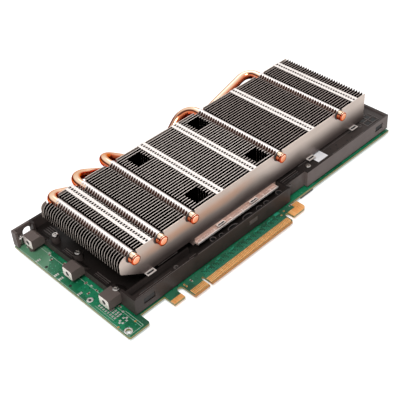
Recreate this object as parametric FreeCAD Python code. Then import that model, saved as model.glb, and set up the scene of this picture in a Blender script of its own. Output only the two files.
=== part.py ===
import FreeCAD, Part

"""Passive accelerator card: board, base plate, zipped fin stack and heat pipes.

Millimetres. The card is drawn in its board frame: X runs from the bracket end along the
card, Y from the tips of the edge contacts to the top edge, and Z from the back of the board
towards the heat sink. Each piece is one node, written to its own STEP file, and the whole
card is moved so that the origin lies under its middle, on the surface it rests on.
"""

import math
import os

from FreeCAD import Vector

# ---------------------------------------------------------------- circuit board
BOARD_LENGTH = 247.65
BOARD_HEIGHT = 111.15
BOARD_THICKNESS = 1.57
BODY_EDGE_Y = 12.7              # near edge of the board's body, above the contact tips
FOOT_LENGTH = 14.9              # foot behind the slot bracket
FOOT_EDGE_Y = 4.3
FOOT_CORNER = 1.5
FOOT_HOLE_X = 2.9
FOOT_HOLE_Y = 8.7
FOOT_HOLE_RADIUS = 1.6
TAB_START_X = 33.0              # alignment tab beside the edge connector
TAB_LENGTH = 8.1
TAB_EDGE_Y = 4.2
TAB_SLOT_TOP_Y = 12.0
HOOK_SLOT_WIDTH = 3.22          # gap between the edge connector and the retention hook
HOOK_SLOT_TOP_Y = 8.3
HOOK_LENGTH = 12.15
HOOK_EDGE_Y = 2.9
HOOK_CORNER = 3.0
HOOK_CHANNEL_WIDTH = 1.4
HOOK_CHANNEL_DEPTH = 5.3
BEVEL_LENGTH = 1.0              # bevel along the contact edge
BEVEL_DEPTH = 0.36

# ---------------------------------------------------------------- edge contacts
KEY_CENTRE_X = 57.83
KEY_WIDTH = 1.9
KEY_TOP_Y = 8.0
SHORT_CONTACTS = 11
LONG_CONTACTS = 71
CONTACT_PITCH = 1.0
CONTACT_WIDTH = 0.7
CONTACT_TOP_Y = 5.4
CONTACT_TO_KEY = 0.55           # centre of the contact beside the key to the key's edge
CONTACT_TO_END = 1.1            # centre of an outer contact to the end of its section
PLATING = 0.06                  # thickness of contacts and plated areas
SECTION_CHAMFER = 1.5
TAB_PLATING_TOP_Y = 7.7
HOOK_PLATING_TOP_Y = 8.2

# ---------------------------------------------------------------- fins
STACK_TOP_Z = 36.0              # top of the tab rows
FIN_COUNT = 34
FIN_PITCH = 2.13
FIN_THICKNESS = 0.4
FIN_FIRST_Y = 23.9              # outer face of the near fin
FIN_FRONT_X = 13.8
FIN_FAR_X = 231.2
FIN_BOTTOM_Z = 14.7
FIN_FOOT_X = 30.0               # where the slanted front meets the bottom edge
FIN_LIP_Z = 25.0                # where the slanted front meets the upright front
FIN_LIP = 0.7
FIN_NOSE_FLAT = 0.2             # top edge between the rounded nose and the first notch
TAB_THICKNESS = 0.4
TAB_ROW_WIDTH = 2.0             # one of the two rows of folded tabs in a band
TAB_BAND_WIDTH = 5.7
TAB_BANDS_X = (31.8, 88.5, 117.2, 172.0, 217.2)
NOTCH_STEPS = 4                 # flats round the bottom of a pipe notch, inner fins
OUTER_NOTCH_STEPS = 10          # the same on the two outer fins
NOSE_STEPS = 3
OUTER_NOSE_STEPS = 6

# ---------------------------------------------------------------- screw wells and processor
PROCESSOR_X = 106.05
WELL_SPACING_X = 51.1
WELL_LENGTH = 10.3
WELL_FINS = 5                   # fins that a well interrupts
NEAR_WELL_FIN = 2               # first of them, counted from the near fin
FAR_WELL_FIN = 26
PACKAGE_SIZE = 42.5
PACKAGE_THICKNESS = 1.4
SPREADER_SIZE = 37.0
SPREADER_THICKNESS = 2.0
SPREADER_RIM = 1.6              # low rim round the spreader's raised top
SPREADER_RIM_THICKNESS = 0.8
CONTACT_PLATE_SIZE = 44.0

# ---------------------------------------------------------------- heat pipes
PIPE_RADIUS = 3.1
PIPE_CLEARANCE = 0.1
PIPE_PROUD = 0.3                # how far a pipe stands above the tab rows
COLLAR_THICKNESS = 0.3          # fin collars folded over the pipes
PIPE_TIP_Y = 17.3
PIPE_TIP_CHAMFER = 0.7
PIPE_ROOF = 0.5                 # metal left over the pipes in the base block
PIPE_END_INSET = 4.0            # pipe end, inwards of the base block's near face
PIPE_LANDING_BEND = 9.0
PIPE_STATIONS_X = (22.4, 42.5, 66.7, 142.3, 202.4)
PIPE_LANDINGS_X = (-31.0, -15.0, -4.0, 6.0, 16.0)      # from the processor's centre
PIPE_BEND_STARTS = (-2.9, -1.1, 2.6, 1.6, 3.1)         # where a loop starts, outwards of the far fin
PIPE_BENDS = (8.5, 13.0, 12.0, 11.0, 8.0)
BEND_RELIEF = 0.7               # extra clearance in the far fin, where the first loop starts

# ---------------------------------------------------------------- heat sink base
BASE_GAP = 0.1                  # solder gap between fins and base
BASE_START_X = 68.9
BASE_END_X = 139.7
FLANGE_OUT = 2.35               # flange beyond the near fin
FLANGE_DROP = 2.9               # flange below the base's top
FLANGE_THICKNESS = 1.4
BLOCK_INSET = 2.1               # block inwards of the near fin
BASE_FAR_INSET = 0.4            # base short of the far fin's outer face

# ---------------------------------------------------------------- base plate
PLATE_FRONT_X = 12.5
PLATE_LIFT = 1.3                # gap between the board and the plate's walls
PLATE_WALL = 1.5
NEAR_WALL_OUT = 0.3             # near wall, inwards of the board's near edge
NEAR_WALL_TOP_Z = 14.1
LEDGE_TOP_Z = 13.0
LEDGE_THICKNESS = 1.8
DECK_TOP_Z = 6.2
DECK_THICKNESS = 1.8
RECESS_START_X = 141.5
RECESS_LENGTH = 18.5
RECESS_DEPTH = 3.8
FAR_WALL_INSET = 1.3            # near wall past the recess, inwards of the first stretch
HIGH_DECK_X = 150.0
LEDGE_DEPTH = 12.0              # ledge, from the near wall inwards
LEDGE_GAP_START_X = 61.0        # open channel in front of the heat sink's flange
TROUGH_START = 4.6              # trough in the first ledge, from the near wall's outer face
TROUGH_WIDTH = 3.6
TROUGH_DEPTH = 2.6
RIDGE_WIDTH = 0.9
RIDGE_HEIGHT = 1.2
CHANNEL_WEBS_X = (88.0, 95.0, 102.5, 114.0)
CHANNEL_WEB_WIDTH = 1.4
CHANNEL_DEPTH = 5.2             # channel between the near wall and its inner rib
WINDOW_LENGTH = 8.2             # shallow windows in the near wall
WINDOW_HEIGHT = 4.0
WINDOW_BOTTOM_Z = 6.6
WINDOW_DEPTH = 0.6
FIRST_WINDOW_X = 19.0
LAST_WINDOW_INSET = 14.25       # from the board's far end
DECK_OPENING_MARGIN = 4.8       # deck opening beyond the spring screws
CORNER_RETURN = 4.6             # rim's return across the bracket end
CORNER_PAD_MARGIN = 0.4         # pad beyond the corner screw's head
ARCH_START_X = 6.5
ARCH_WIDTH = 6.0
ARCH_BOTTOM_Z = 6.0
ARCH_HEIGHT = 5.6

# ---------------------------------------------------------------- bracket arms
ARM_FACE_X = 3.6
ARM_BOTTOM_Z = 5.3
ARM_HEIGHT = 6.7
ARM_WIDTH = 8.6
LOWER_ARM_Y = 29.0
MIDDLE_ARM_Y = 61.8
UPPER_ARM_INSET = 10.95         # from the board's top edge
ARM_LEVEL_LENGTHS = (11.0, 7.0, 6.4)
ARM_SLOPE_LENGTH = 6.0
ARM_THREAD_RADIUS = 1.25
ARM_THREAD_DEPTH = 6.0
ARM_FOOT_RADIUS = 1.9

# ---------------------------------------------------------------- screws and posts
SCREW_CLEARANCE = 0.1
POST_RADIUS = 2.8
PLATE_SCREW_RADIUS = 1.1
PLATE_SCREW_LENGTH = 4.0
PLATE_HEAD_RADIUS = 1.9
PLATE_HEAD_HEIGHT = 1.0
PLATE_POSTS = ((17.2, 91.0), (17.0, 68.8))
PLATE_POST_TOP_Z = 11.0
LEDGE_SCREW = (166.8, 19.6)
BOARD_SCREW_RADIUS = 1.25
BOARD_HEAD_RADIUS = 2.4
BOARD_HEAD_HEIGHT = 1.4
BOARD_SCREW_GRIP = 3.4          # screw's length above the board
BOARD_SCREW_FRONT = (50.0, 32.0)
BOARD_SCREW_ABOVE_X = 52.0
BOARD_SCREW_END_INSET = 9.65    # from the board's far end
BOARD_SCREW_TOP_INSET = 8.15    # from the board's top edge
BOARD_SCREW_NEAR_Y = 24.0
SPRING_SCREW_RADIUS = 1.4
SPRING_HEAD_RADIUS = 3.2
SPRING_HEAD_HEIGHT = 2.2
SPRING_LENGTH = 5.0
SPRING_RADIUS = 2.7
BRACE_MARGIN = 3.6              # brace beyond the spring screws
BRACE_WIDTH = 9.0
BRACE_THICKNESS = 1.6
BRACE_STANDOFF = 0.9
BRACE_BOSS_RADIUS = 3.0

# ---------------------------------------------------------------- parts on the board
MEMORY_WIDTH = 12.0
MEMORY_LENGTH = 14.0
MEMORY_THICKNESS = 1.2
MEMORY_PITCH = 16.0
MEMORY_COLUMN_OFFSET = 37.2     # memory columns, from the processor's centre
MEMORY_ROW_INSET = 12.97        # memory row, from the board's top edge
MEMORY_PER_SIDE = 4
PAD_GAP = 0.1
INDUCTOR_SIZE = 10.0
INDUCTOR_HEIGHT = 7.0
INDUCTOR_COLUMN_X = 165.5
INDUCTOR_COUNT = 5
INDUCTOR_PITCH = 11.4
INDUCTOR_START_Y = 38.0
TRANSISTOR_LENGTH = 6.0
TRANSISTOR_WIDTH = 5.0
TRANSISTOR_HEIGHT = 1.0
TRANSISTOR_OUT = 13.0           # transistors beyond the inductors
TRANSISTOR_PAD = 1.0
RAIL_WIDTH = 8.0
CAPACITOR_RADIUS = 4.0
CAPACITOR_HEIGHT = 8.0
CAPACITOR_COLUMN_X = 205.0
CAPACITOR_START_Y = 36.0
CAPACITOR_COUNT = 4
CAPACITOR_PITCH = 13.0
SOCKET_PITCH = 4.2
SOCKET_WALL = 0.8
SOCKET_LIFT = 1.0
SOCKET_DEPTH = 13.0
SOCKET_CAVITY = 10.0
SOCKET_LATCH_WIDTH = 4.0
SOCKET_LATCH_HEIGHT = 1.2
SOCKET_GAP = 2.4
SOCKET_END_INSET = 60.65        # start of the first socket, from the board's far end
SOCKET_COLUMNS = (4, 3)
SOCKET_ROWS = 2
PIN_WIDTH = 1.1
PIN_LENGTH = 5.0
LABEL_START_X = 174.6
LABEL_SIZE = 9.8
LABEL_IN = 1.3                  # label's near edge, inwards of the near wall
LABEL_THICKNESS = 0.12
REAR_CHIP_START_X = 152.0
REAR_CHIP_LENGTH = 12.0
REAR_CHIP_WIDTH = 5.0
REAR_CHIP_THICKNESS = 1.5
CLIP_WIDTH = 6.4
CLIP_REACH = 1.7                # how far a clip stands out of the near fin
CLIP_FRAME = 0.5
CLIP_THICKNESS = 0.4

# ---------------------------------------------------------------- worked out from the above
KEY_START_X = KEY_CENTRE_X - KEY_WIDTH / 2
KEY_END_X = KEY_CENTRE_X + KEY_WIDTH / 2
EDGE_START_X = KEY_START_X - CONTACT_TO_KEY - (SHORT_CONTACTS - 1) * CONTACT_PITCH - CONTACT_TO_END
EDGE_END_X = KEY_END_X + CONTACT_TO_KEY + (LONG_CONTACTS - 1) * CONTACT_PITCH + CONTACT_TO_END
HOOK_START_X = EDGE_END_X + HOOK_SLOT_WIDTH
HOOK_END_X = HOOK_START_X + HOOK_LENGTH
CHANNEL_START_X = HOOK_END_X - HOOK_CHANNEL_DEPTH

FIN_TOP_Z = STACK_TOP_Z - TAB_THICKNESS
FIN_LAST_Y = FIN_FIRST_Y + (FIN_COUNT - 1) * FIN_PITCH
STACK_FAR_Y = FIN_LAST_Y + FIN_THICKNESS
BASE_FAR_Y = STACK_FAR_Y - BASE_FAR_INSET
PIPE_TOP_Z = STACK_TOP_Z + PIPE_PROUD - PIPE_RADIUS
NOTCH_CLEARANCE = 2 * PIPE_CLEARANCE + COLLAR_THICKNESS
BASE_TOP_Z = FIN_BOTTOM_Z - BASE_GAP
FLANGE_TOP_Z = BASE_TOP_Z - FLANGE_DROP
PIPE_LOW_Z = BASE_TOP_Z - PIPE_ROOF - PIPE_CLEARANCE - PIPE_RADIUS
BLOCK_BOTTOM_Z = PIPE_LOW_Z - PIPE_RADIUS - PIPE_CLEARANCE
SPREADER_TOP_Z = BOARD_THICKNESS + PACKAGE_THICKNESS + SPREADER_THICKNESS

PLATE_NEAR_Y = BODY_EDGE_Y + NEAR_WALL_OUT
PLATE_FAR_NEAR_Y = PLATE_NEAR_Y + FAR_WALL_INSET
PLATE_BOTTOM_Z = BOARD_THICKNESS + PLATE_LIFT
LEDGE_BOTTOM_Z = LEDGE_TOP_Z - LEDGE_THICKNESS
DECK_BOTTOM_Z = DECK_TOP_Z - DECK_THICKNESS
RECESS_END_X = RECESS_START_X + RECESS_LENGTH
RAIL_X = INDUCTOR_COLUMN_X + TRANSISTOR_OUT
BRACE_BOTTOM_Z = -BRACE_STANDOFF - BRACE_THICKNESS
ARM_CENTRES_Y = (LOWER_ARM_Y, MIDDLE_ARM_Y, BOARD_HEIGHT - UPPER_ARM_INSET)
WINDOWS_X = (FIRST_WINDOW_X, BOARD_LENGTH - LAST_WINDOW_INSET)
SOCKET_START_X = BOARD_LENGTH - SOCKET_END_INSET
BOARD_SCREW_FAR_X = BOARD_LENGTH - BOARD_SCREW_END_INSET
BOARD_SCREW_TOP_Y = BOARD_HEIGHT - BOARD_SCREW_TOP_INSET
BOARD_SCREWS = ((BOARD_SCREW_ABOVE_X, BOARD_SCREW_TOP_Y), (BOARD_SCREW_FAR_X, BOARD_SCREW_TOP_Y),
                (BOARD_SCREW_FAR_X, BOARD_SCREW_NEAR_Y), BOARD_SCREW_FRONT)


def fin_y(index):
    """Near face of a fin, counted from the near one."""
    return FIN_FIRST_Y + index * FIN_PITCH


def well_y(first):
    """Middle of the well that starts at the given fin."""
    return fin_y(first + (WELL_FINS - 1) / 2) + FIN_THICKNESS / 2


WELLS_X = (PROCESSOR_X - WELL_SPACING_X / 2, PROCESSOR_X + WELL_SPACING_X / 2)
WELLS_Y = (well_y(NEAR_WELL_FIN), well_y(FAR_WELL_FIN))
PROCESSOR_Y = sum(WELLS_Y) / 2
SPRING_SCREWS = [(x, y) for x in WELLS_X for y in WELLS_Y]


# ---------------------------------------------------------------- forms
def rounded_path(points, radii, closed):
    """Straight runs through the points, joined by tangent arcs of the given radii."""
    count = len(points)
    arrive, leave, middle = list(points), list(points), [None] * count
    for i, point in enumerate(points):
        if radii[i] <= 0 or (not closed and i in (0, count - 1)):
            continue
        back = (points[i - 1] - point).normalize()
        ahead = (points[(i + 1) % count] - point).normalize()
        half = back.getAngle(ahead) / 2
        inwards = (back + ahead).normalize()
        arrive[i] = point + back * (radii[i] / math.tan(half))
        leave[i] = point + ahead * (radii[i] / math.tan(half))
        middle[i] = point + inwards * (radii[i] / math.sin(half) - radii[i])
    edges = []
    for i in range(count if closed else count - 1):
        if middle[i] is not None:
            edges.append(Part.Arc(arrive[i], middle[i], leave[i]).toShape())
        following = (i + 1) % count
        if (arrive[following] - leave[i]).Length > 1e-6:
            edges.append(Part.makeLine(leave[i], arrive[following]))
    return Part.Wire(edges)


def plan(corners, bottom, top):
    """Prism over an outline seen from above; a corner is (x, y) or (x, y, radius)."""
    points = [Vector(c[0], c[1], bottom) for c in corners]
    radii = [c[2] if len(c) > 2 else 0 for c in corners]
    return Part.Face(rounded_path(points, radii, True)).extrude(Vector(0, 0, top - bottom))


def side_profile(corners, near, far):
    """Prism over an outline in X and Z, from near to far in Y."""
    points = [Vector(c[0], near, c[1]) for c in corners]
    radii = [c[2] if len(c) > 2 else 0 for c in corners]
    return Part.Face(rounded_path(points, radii, True)).extrude(Vector(0, far - near, 0))


def end_profile(corners, start, end):
    """Prism over an outline in Y and Z, from start to end in X."""
    points = [Vector(start, c[0], c[1]) for c in corners]
    radii = [c[2] if len(c) > 2 else 0 for c in corners]
    return Part.Face(rounded_path(points, radii, True)).extrude(Vector(end - start, 0, 0))


def block(x, y, z):
    """Box over three ranges."""
    size = [high - low for low, high in (x, y, z)]
    return Part.makeBox(*size, Vector(x[0], y[0], z[0]))


def around(centre, size):
    """Range of the given size about a centre."""
    return centre - size / 2, centre + size / 2


def post(x, y, radius, bottom, top):
    """Upright cylinder."""
    return Part.makeCylinder(radius, top - bottom, Vector(x, y, bottom))


def joined(solids):
    """Union of touching solids, without seams."""
    first, rest = solids[0], solids[1:]
    return first.fuse(rest).removeSplitter() if rest else first


def group(solids):
    """Separate solids that share a node."""
    return Part.makeCompound(solids)


# ---------------------------------------------------------------- board
def board_corners():
    """Outline of the board, from the foot's outer corner towards the hook."""
    slot = (EDGE_START_X - TAB_START_X - TAB_LENGTH) / 2
    tab_end = TAB_START_X + TAB_LENGTH
    key = KEY_WIDTH / 2
    hook_slot = HOOK_SLOT_WIDTH / 2
    channel = HOOK_CHANNEL_WIDTH / 2
    channel_bottom = BODY_EDGE_Y - HOOK_CHANNEL_WIDTH
    return [
        (0, FOOT_EDGE_Y, FOOT_CORNER), (FOOT_LENGTH, FOOT_EDGE_Y, FOOT_CORNER), (FOOT_LENGTH, BODY_EDGE_Y),
        (TAB_START_X, BODY_EDGE_Y), (TAB_START_X, TAB_EDGE_Y), (tab_end, TAB_EDGE_Y),
        (tab_end, TAB_SLOT_TOP_Y, slot), (EDGE_START_X, TAB_SLOT_TOP_Y, slot), (EDGE_START_X, 0),
        (KEY_START_X, 0), (KEY_START_X, KEY_TOP_Y, key), (KEY_END_X, KEY_TOP_Y, key), (KEY_END_X, 0),
        (EDGE_END_X - SECTION_CHAMFER, 0), (EDGE_END_X, SECTION_CHAMFER),
        (EDGE_END_X, HOOK_SLOT_TOP_Y, hook_slot), (HOOK_START_X, HOOK_SLOT_TOP_Y, hook_slot),
        (HOOK_START_X, HOOK_EDGE_Y), (HOOK_END_X, HOOK_EDGE_Y, HOOK_CORNER), (HOOK_END_X, channel_bottom),
        (CHANNEL_START_X, channel_bottom, channel), (CHANNEL_START_X, BODY_EDGE_Y, channel),
        (BOARD_LENGTH, BODY_EDGE_Y), (BOARD_LENGTH, BOARD_HEIGHT), (0, BOARD_HEIGHT),
    ]


def board_holes():
    """Through holes of the board: bracket, base plate screws, spring screws."""
    radius = BOARD_SCREW_RADIUS + SCREW_CLEARANCE
    holes = [(FOOT_HOLE_X, FOOT_HOLE_Y, FOOT_HOLE_RADIUS)]
    holes += [(x, y, radius) for x, y in BOARD_SCREWS]
    holes += [(x, y, SPRING_SCREW_RADIUS + SCREW_CLEARANCE) for x, y in SPRING_SCREWS]
    return [post(x, y, r, -BOARD_THICKNESS, 2 * BOARD_THICKNESS) for x, y, r in holes]


def make_board():
    """Laminate with its edge connector bevelled on both faces."""
    board = plan(board_corners(), 0, BOARD_THICKNESS).cut(board_holes())
    span = (EDGE_START_X - CONTACT_PITCH, EDGE_END_X + HOOK_SLOT_WIDTH / 2)
    wedges = []
    for face, out in ((0, -1), (BOARD_THICKNESS, 1)):
        inner = face - out * BEVEL_DEPTH
        corners = [(-BEVEL_LENGTH, face + out), (BEVEL_LENGTH, face + out), (BEVEL_LENGTH, face), (0, inner),
                   (-BEVEL_LENGTH, inner)]
        wedges.append(end_profile(corners, *span))
    return board.cut(wedges)


def make_contacts(bottom):
    """One row of edge contacts on the face at the given height."""
    first = EDGE_START_X + CONTACT_TO_END
    centres = [first + i * CONTACT_PITCH for i in range(SHORT_CONTACTS)]
    centres += [KEY_END_X + CONTACT_TO_KEY + i * CONTACT_PITCH for i in range(LONG_CONTACTS)]
    fingers = []
    for i, centre in enumerate(centres):
        last = i == len(centres) - 1
        tip = max(BEVEL_LENGTH, SECTION_CHAMFER) if last else BEVEL_LENGTH
        fingers.append(block(around(centre, CONTACT_WIDTH), (tip, CONTACT_TOP_Y), (bottom, bottom + PLATING)))
    return group(fingers)


def make_retention_plating():
    """Gold areas on both faces of the alignment tab and of the hook."""
    areas = []
    for bottom in (-PLATING, BOARD_THICKNESS):
        skin = plan(board_corners(), bottom, bottom + PLATING)
        level = (bottom - PLATING, bottom + 2 * PLATING)
        tab = block((TAB_START_X, TAB_START_X + TAB_LENGTH), (TAB_EDGE_Y, TAB_PLATING_TOP_Y), level)
        low = block((HOOK_START_X, CHANNEL_START_X), (HOOK_EDGE_Y, HOOK_PLATING_TOP_Y), level)
        high = block((CHANNEL_START_X, HOOK_END_X), (HOOK_EDGE_Y, BODY_EDGE_Y - HOOK_CHANNEL_WIDTH), level)
        areas += skin.common(tab).Solids + skin.common(low.fuse(high)).removeSplitter().Solids
    return group(areas)


# ---------------------------------------------------------------- fins
def notch_corners(x, steps, clearance):
    """Open-topped notch round a pipe: flats that touch the pipe's clearance circle."""
    radius = PIPE_RADIUS + clearance
    turn = math.pi / steps
    reach = radius / math.cos(turn / 2)
    corners = [(x - radius, FIN_TOP_Z)]
    for i in range(steps):
        angle = math.pi + (i + 0.5) * turn
        corners.append((x + reach * math.cos(angle), PIPE_TOP_Z + reach * math.sin(angle)))
    return corners + [(x + radius, FIN_TOP_Z)]


def fin_corners(notch_steps, nose_steps, clearance):
    """Side profile of a fin: slanted foot, rounded nose, five notches, square far end."""
    corners = [(FIN_FOOT_X, FIN_BOTTOM_Z), (FIN_FRONT_X + FIN_LIP, FIN_LIP_Z),
               (FIN_FRONT_X, FIN_LIP_Z + FIN_LIP)]
    nose = PIPE_STATIONS_X[0] - PIPE_RADIUS - clearance - FIN_NOSE_FLAT - FIN_FRONT_X
    for i in range(nose_steps + 1):
        angle = math.pi * (1 - i / nose_steps / 2)
        corners.append((FIN_FRONT_X + nose * (1 + math.cos(angle)), FIN_TOP_Z - nose * (1 - math.sin(angle))))
    for x in PIPE_STATIONS_X:
        corners += notch_corners(x, notch_steps, clearance)
    return corners + [(FIN_FAR_X, FIN_TOP_Z), (FIN_FAR_X, FIN_BOTTOM_Z)]


def make_fin(index, notch_steps=NOTCH_STEPS, nose_steps=NOSE_STEPS, clearance=NOTCH_CLEARANCE):
    """One stamped fin in its place."""
    near = fin_y(index)
    return side_profile(fin_corners(notch_steps, nose_steps, clearance), near, near + FIN_THICKNESS)


def make_near_fin():
    """The fin that closes the stack, with its skirt down to the base's flange."""
    fin = make_fin(0, OUTER_NOTCH_STEPS, OUTER_NOSE_STEPS)
    skirt = block((BASE_START_X, BASE_END_X), (FIN_FIRST_Y, FIN_FIRST_Y + FIN_THICKNESS),
                  (FLANGE_TOP_Z + BASE_GAP, FIN_BOTTOM_Z))
    return joined([fin, skirt])


def make_pipe_collars():
    """Collars that the fins fold over the pipes, one row to a pipe."""
    inner = PIPE_RADIUS + PIPE_CLEARANCE
    rows = []
    for x, bend_start in zip(PIPE_STATIONS_X, PIPE_BEND_STARTS):
        length = STACK_FAR_Y + min(bend_start, 0) - FIN_FIRST_Y
        start = Vector(x, FIN_FIRST_Y, PIPE_TOP_Z)
        outer = inner + COLLAR_THICKNESS
        under = block(around(x, 2 * outer), (start.y, start.y + length), (PIPE_TOP_Z - outer, PIPE_TOP_Z))
        bore = Part.makeCylinder(inner, length, start, Vector(0, 1, 0))
        rows.append(Part.makeCylinder(outer, length, start, Vector(0, 1, 0)).cut([bore, under]))
    return group(rows)


def make_fin_stack():
    """The inner fins; those that meet a screw well are cut through from top to bottom."""
    fins = []
    for index in range(1, FIN_COUNT - 1):
        fin = make_fin(index)
        if any(first <= index < first + WELL_FINS for first in (NEAR_WELL_FIN, FAR_WELL_FIN)):
            reach = around(fin_y(index), FIN_PITCH)
            fin = fin.cut([block(around(x, WELL_LENGTH), reach, (0, STACK_TOP_Z)) for x in WELLS_X])
        fins += fin.Solids
    return group(fins)


def make_fin_tabs():
    """Rows of folded tabs that hook each fin to the next, two rows to a band."""
    rows = []
    for start in TAB_BANDS_X:
        for x in (start, start + TAB_BAND_WIDTH - TAB_ROW_WIDTH):
            rows.append(block((x, x + TAB_ROW_WIDTH), (FIN_FIRST_Y, STACK_FAR_Y), (FIN_TOP_Z, STACK_TOP_Z)))
    return group(rows)


def make_fin_clips():
    """Slotted clips folded out of the near fin's bottom edge, under the tab rows."""
    clips = []
    for start in TAB_BANDS_X:
        x0 = start - (CLIP_WIDTH - TAB_BAND_WIDTH) / 2
        on_skirt = BASE_START_X < start < BASE_END_X
        bottom = FLANGE_TOP_Z + BASE_GAP if on_skirt else FIN_BOTTOM_Z
        y = (FIN_FIRST_Y - CLIP_REACH, FIN_FIRST_Y)
        z = (bottom, bottom + CLIP_THICKNESS)
        hole = block((x0 + CLIP_FRAME, x0 + CLIP_WIDTH - CLIP_FRAME), (y[0] + CLIP_FRAME, y[1] - CLIP_FRAME), z)
        clips.append(block((x0, x0 + CLIP_WIDTH), y, z).cut(hole))
    return group(clips)


# ---------------------------------------------------------------- heat pipes and base
def pipe_path(number):
    """Centre line of a pipe: over the fins, round its loop, down and into the base block."""
    start = Vector(PIPE_STATIONS_X[number], PIPE_TIP_Y, PIPE_TOP_Z)
    landing = Vector(PROCESSOR_X + PIPE_LANDINGS_X[number], BASE_FAR_Y + PIPE_LANDING_BEND, PIPE_LOW_Z)
    end = Vector(landing.x, FIN_FIRST_Y + BLOCK_INSET + PIPE_END_INSET, PIPE_LOW_Z)
    bend, bend_start = PIPE_BENDS[number], STACK_FAR_Y + PIPE_BEND_STARTS[number]
    turn = Vector(0, 1, 0).getAngle(landing - Vector(start.x, bend_start + bend, PIPE_TOP_Z))
    corner = Vector(start.x, bend_start + bend * math.tan(turn / 2), PIPE_TOP_Z)
    return rounded_path([start, corner, landing, end], (0, bend, PIPE_LANDING_BEND, 0), False)


def swept(path, radius):
    """Round bar along a path that starts in the direction of +Y."""
    start = path.Vertexes[0].Point
    ring = Part.Wire(Part.makeCircle(radius, start, Vector(0, 1, 0)))
    return path.makePipeShell([ring], True, True)


def make_pipe(number):
    """A heat pipe with its crimped tip chamfered."""
    pipe = swept(pipe_path(number), PIPE_RADIUS)
    tip = [e for e in pipe.Edges if abs(e.CenterOfMass.y - PIPE_TIP_Y) < 1e-3]
    return pipe.makeChamfer(PIPE_TIP_CHAMFER, tip)


def make_heat_pipes():
    """The five pipes."""
    return group([make_pipe(i) for i in range(len(PIPE_STATIONS_X))])


def make_heatsink_base():
    """Block under the fins, with its near flange, milled pipe grooves and spring screw holes."""
    near = FIN_FIRST_Y - FLANGE_OUT
    inner = FIN_FIRST_Y + BLOCK_INSET
    under = FLANGE_TOP_Z - FLANGE_THICKNESS
    profile = [(near, under), (near, FLANGE_TOP_Z), (inner, FLANGE_TOP_Z), (inner, BASE_TOP_Z),
               (BASE_FAR_Y, BASE_TOP_Z), (BASE_FAR_Y, BLOCK_BOTTOM_Z), (inner, BLOCK_BOTTOM_Z), (inner, under)]
    base = end_profile(profile, BASE_START_X, BASE_END_X)
    radius = SPRING_SCREW_RADIUS + SCREW_CLEARANCE
    holes = [post(x, y, radius, BLOCK_BOTTOM_Z - 1, BASE_TOP_Z + 1) for x, y in SPRING_SCREWS]
    half = PIPE_RADIUS + PIPE_CLEARANCE
    grooves = [block(around(PROCESSOR_X + x, 2 * half), (inner + PIPE_END_INSET - half, BASE_FAR_Y + 1),
                     (BLOCK_BOTTOM_Z - 1, PIPE_LOW_Z + half)) for x in PIPE_LANDINGS_X]
    return base.cut(holes + grooves)


def make_contact_plate():
    """Copper plate between the heat spreader and the block."""
    size = CONTACT_PLATE_SIZE
    return block(around(PROCESSOR_X, size), around(PROCESSOR_Y, size), (SPREADER_TOP_Z, BLOCK_BOTTOM_Z))


def make_spring_screws():
    """The four screws in the wells, from above the base down to the brace's back."""
    screws = []
    head = BASE_TOP_Z + SPRING_LENGTH
    for x, y in SPRING_SCREWS:
        shank = post(x, y, SPRING_SCREW_RADIUS, BRACE_BOTTOM_Z, head)
        screws.append(joined([shank, post(x, y, SPRING_HEAD_RADIUS, head, head + SPRING_HEAD_HEIGHT)]))
    return group(screws)


def make_screw_springs():
    """The springs under the spring screws' heads, as closed sleeves of the coils' size."""
    inner = SPRING_SCREW_RADIUS + SCREW_CLEARANCE
    top = BASE_TOP_Z + SPRING_LENGTH
    sleeves = []
    for x, y in SPRING_SCREWS:
        bore = post(x, y, inner, BASE_TOP_Z, top)
        sleeves.append(post(x, y, SPRING_RADIUS, BASE_TOP_Z, top).cut(bore))
    return group(sleeves)


def make_rear_brace():
    """Square frame behind the processor, on four bosses that take the spring screws."""
    x = (WELLS_X[0] - BRACE_MARGIN, WELLS_X[1] + BRACE_MARGIN)
    y = (WELLS_Y[0] - BRACE_MARGIN, WELLS_Y[1] + BRACE_MARGIN)
    outer = [(x[0], y[0], BRACE_MARGIN), (x[1], y[0], BRACE_MARGIN), (x[1], y[1], BRACE_MARGIN),
             (x[0], y[1], BRACE_MARGIN)]
    x, y = [(r[0] + BRACE_WIDTH, r[1] - BRACE_WIDTH) for r in (x, y)]
    inner = [(x[0], y[0], BRACE_MARGIN), (x[1], y[0], BRACE_MARGIN), (x[1], y[1], BRACE_MARGIN),
             (x[0], y[1], BRACE_MARGIN)]
    frame = plan(outer, BRACE_BOTTOM_Z, -BRACE_STANDOFF).cut(plan(inner, BRACE_BOTTOM_Z, -BRACE_STANDOFF))
    bosses = [post(a, b, BRACE_BOSS_RADIUS, -BRACE_STANDOFF, 0) for a, b in SPRING_SCREWS]
    radius = SPRING_SCREW_RADIUS + SCREW_CLEARANCE
    holes = [post(a, b, radius, BRACE_BOTTOM_Z - 1, 1) for a, b in SPRING_SCREWS]
    return joined([frame] + bosses).cut(holes)


# ---------------------------------------------------------------- base plate
def plate_corners():
    """Outline of the base plate's tray, seen from above."""
    return [
        (PLATE_FRONT_X, PLATE_NEAR_Y), (RECESS_START_X, PLATE_NEAR_Y),
        (RECESS_START_X, PLATE_NEAR_Y + RECESS_DEPTH), (RECESS_END_X, PLATE_NEAR_Y + RECESS_DEPTH),
        (RECESS_END_X, PLATE_FAR_NEAR_Y), (BOARD_LENGTH, PLATE_FAR_NEAR_Y),
        (BOARD_LENGTH, BOARD_HEIGHT), (PLATE_FRONT_X, BOARD_HEIGHT),
    ]


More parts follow.
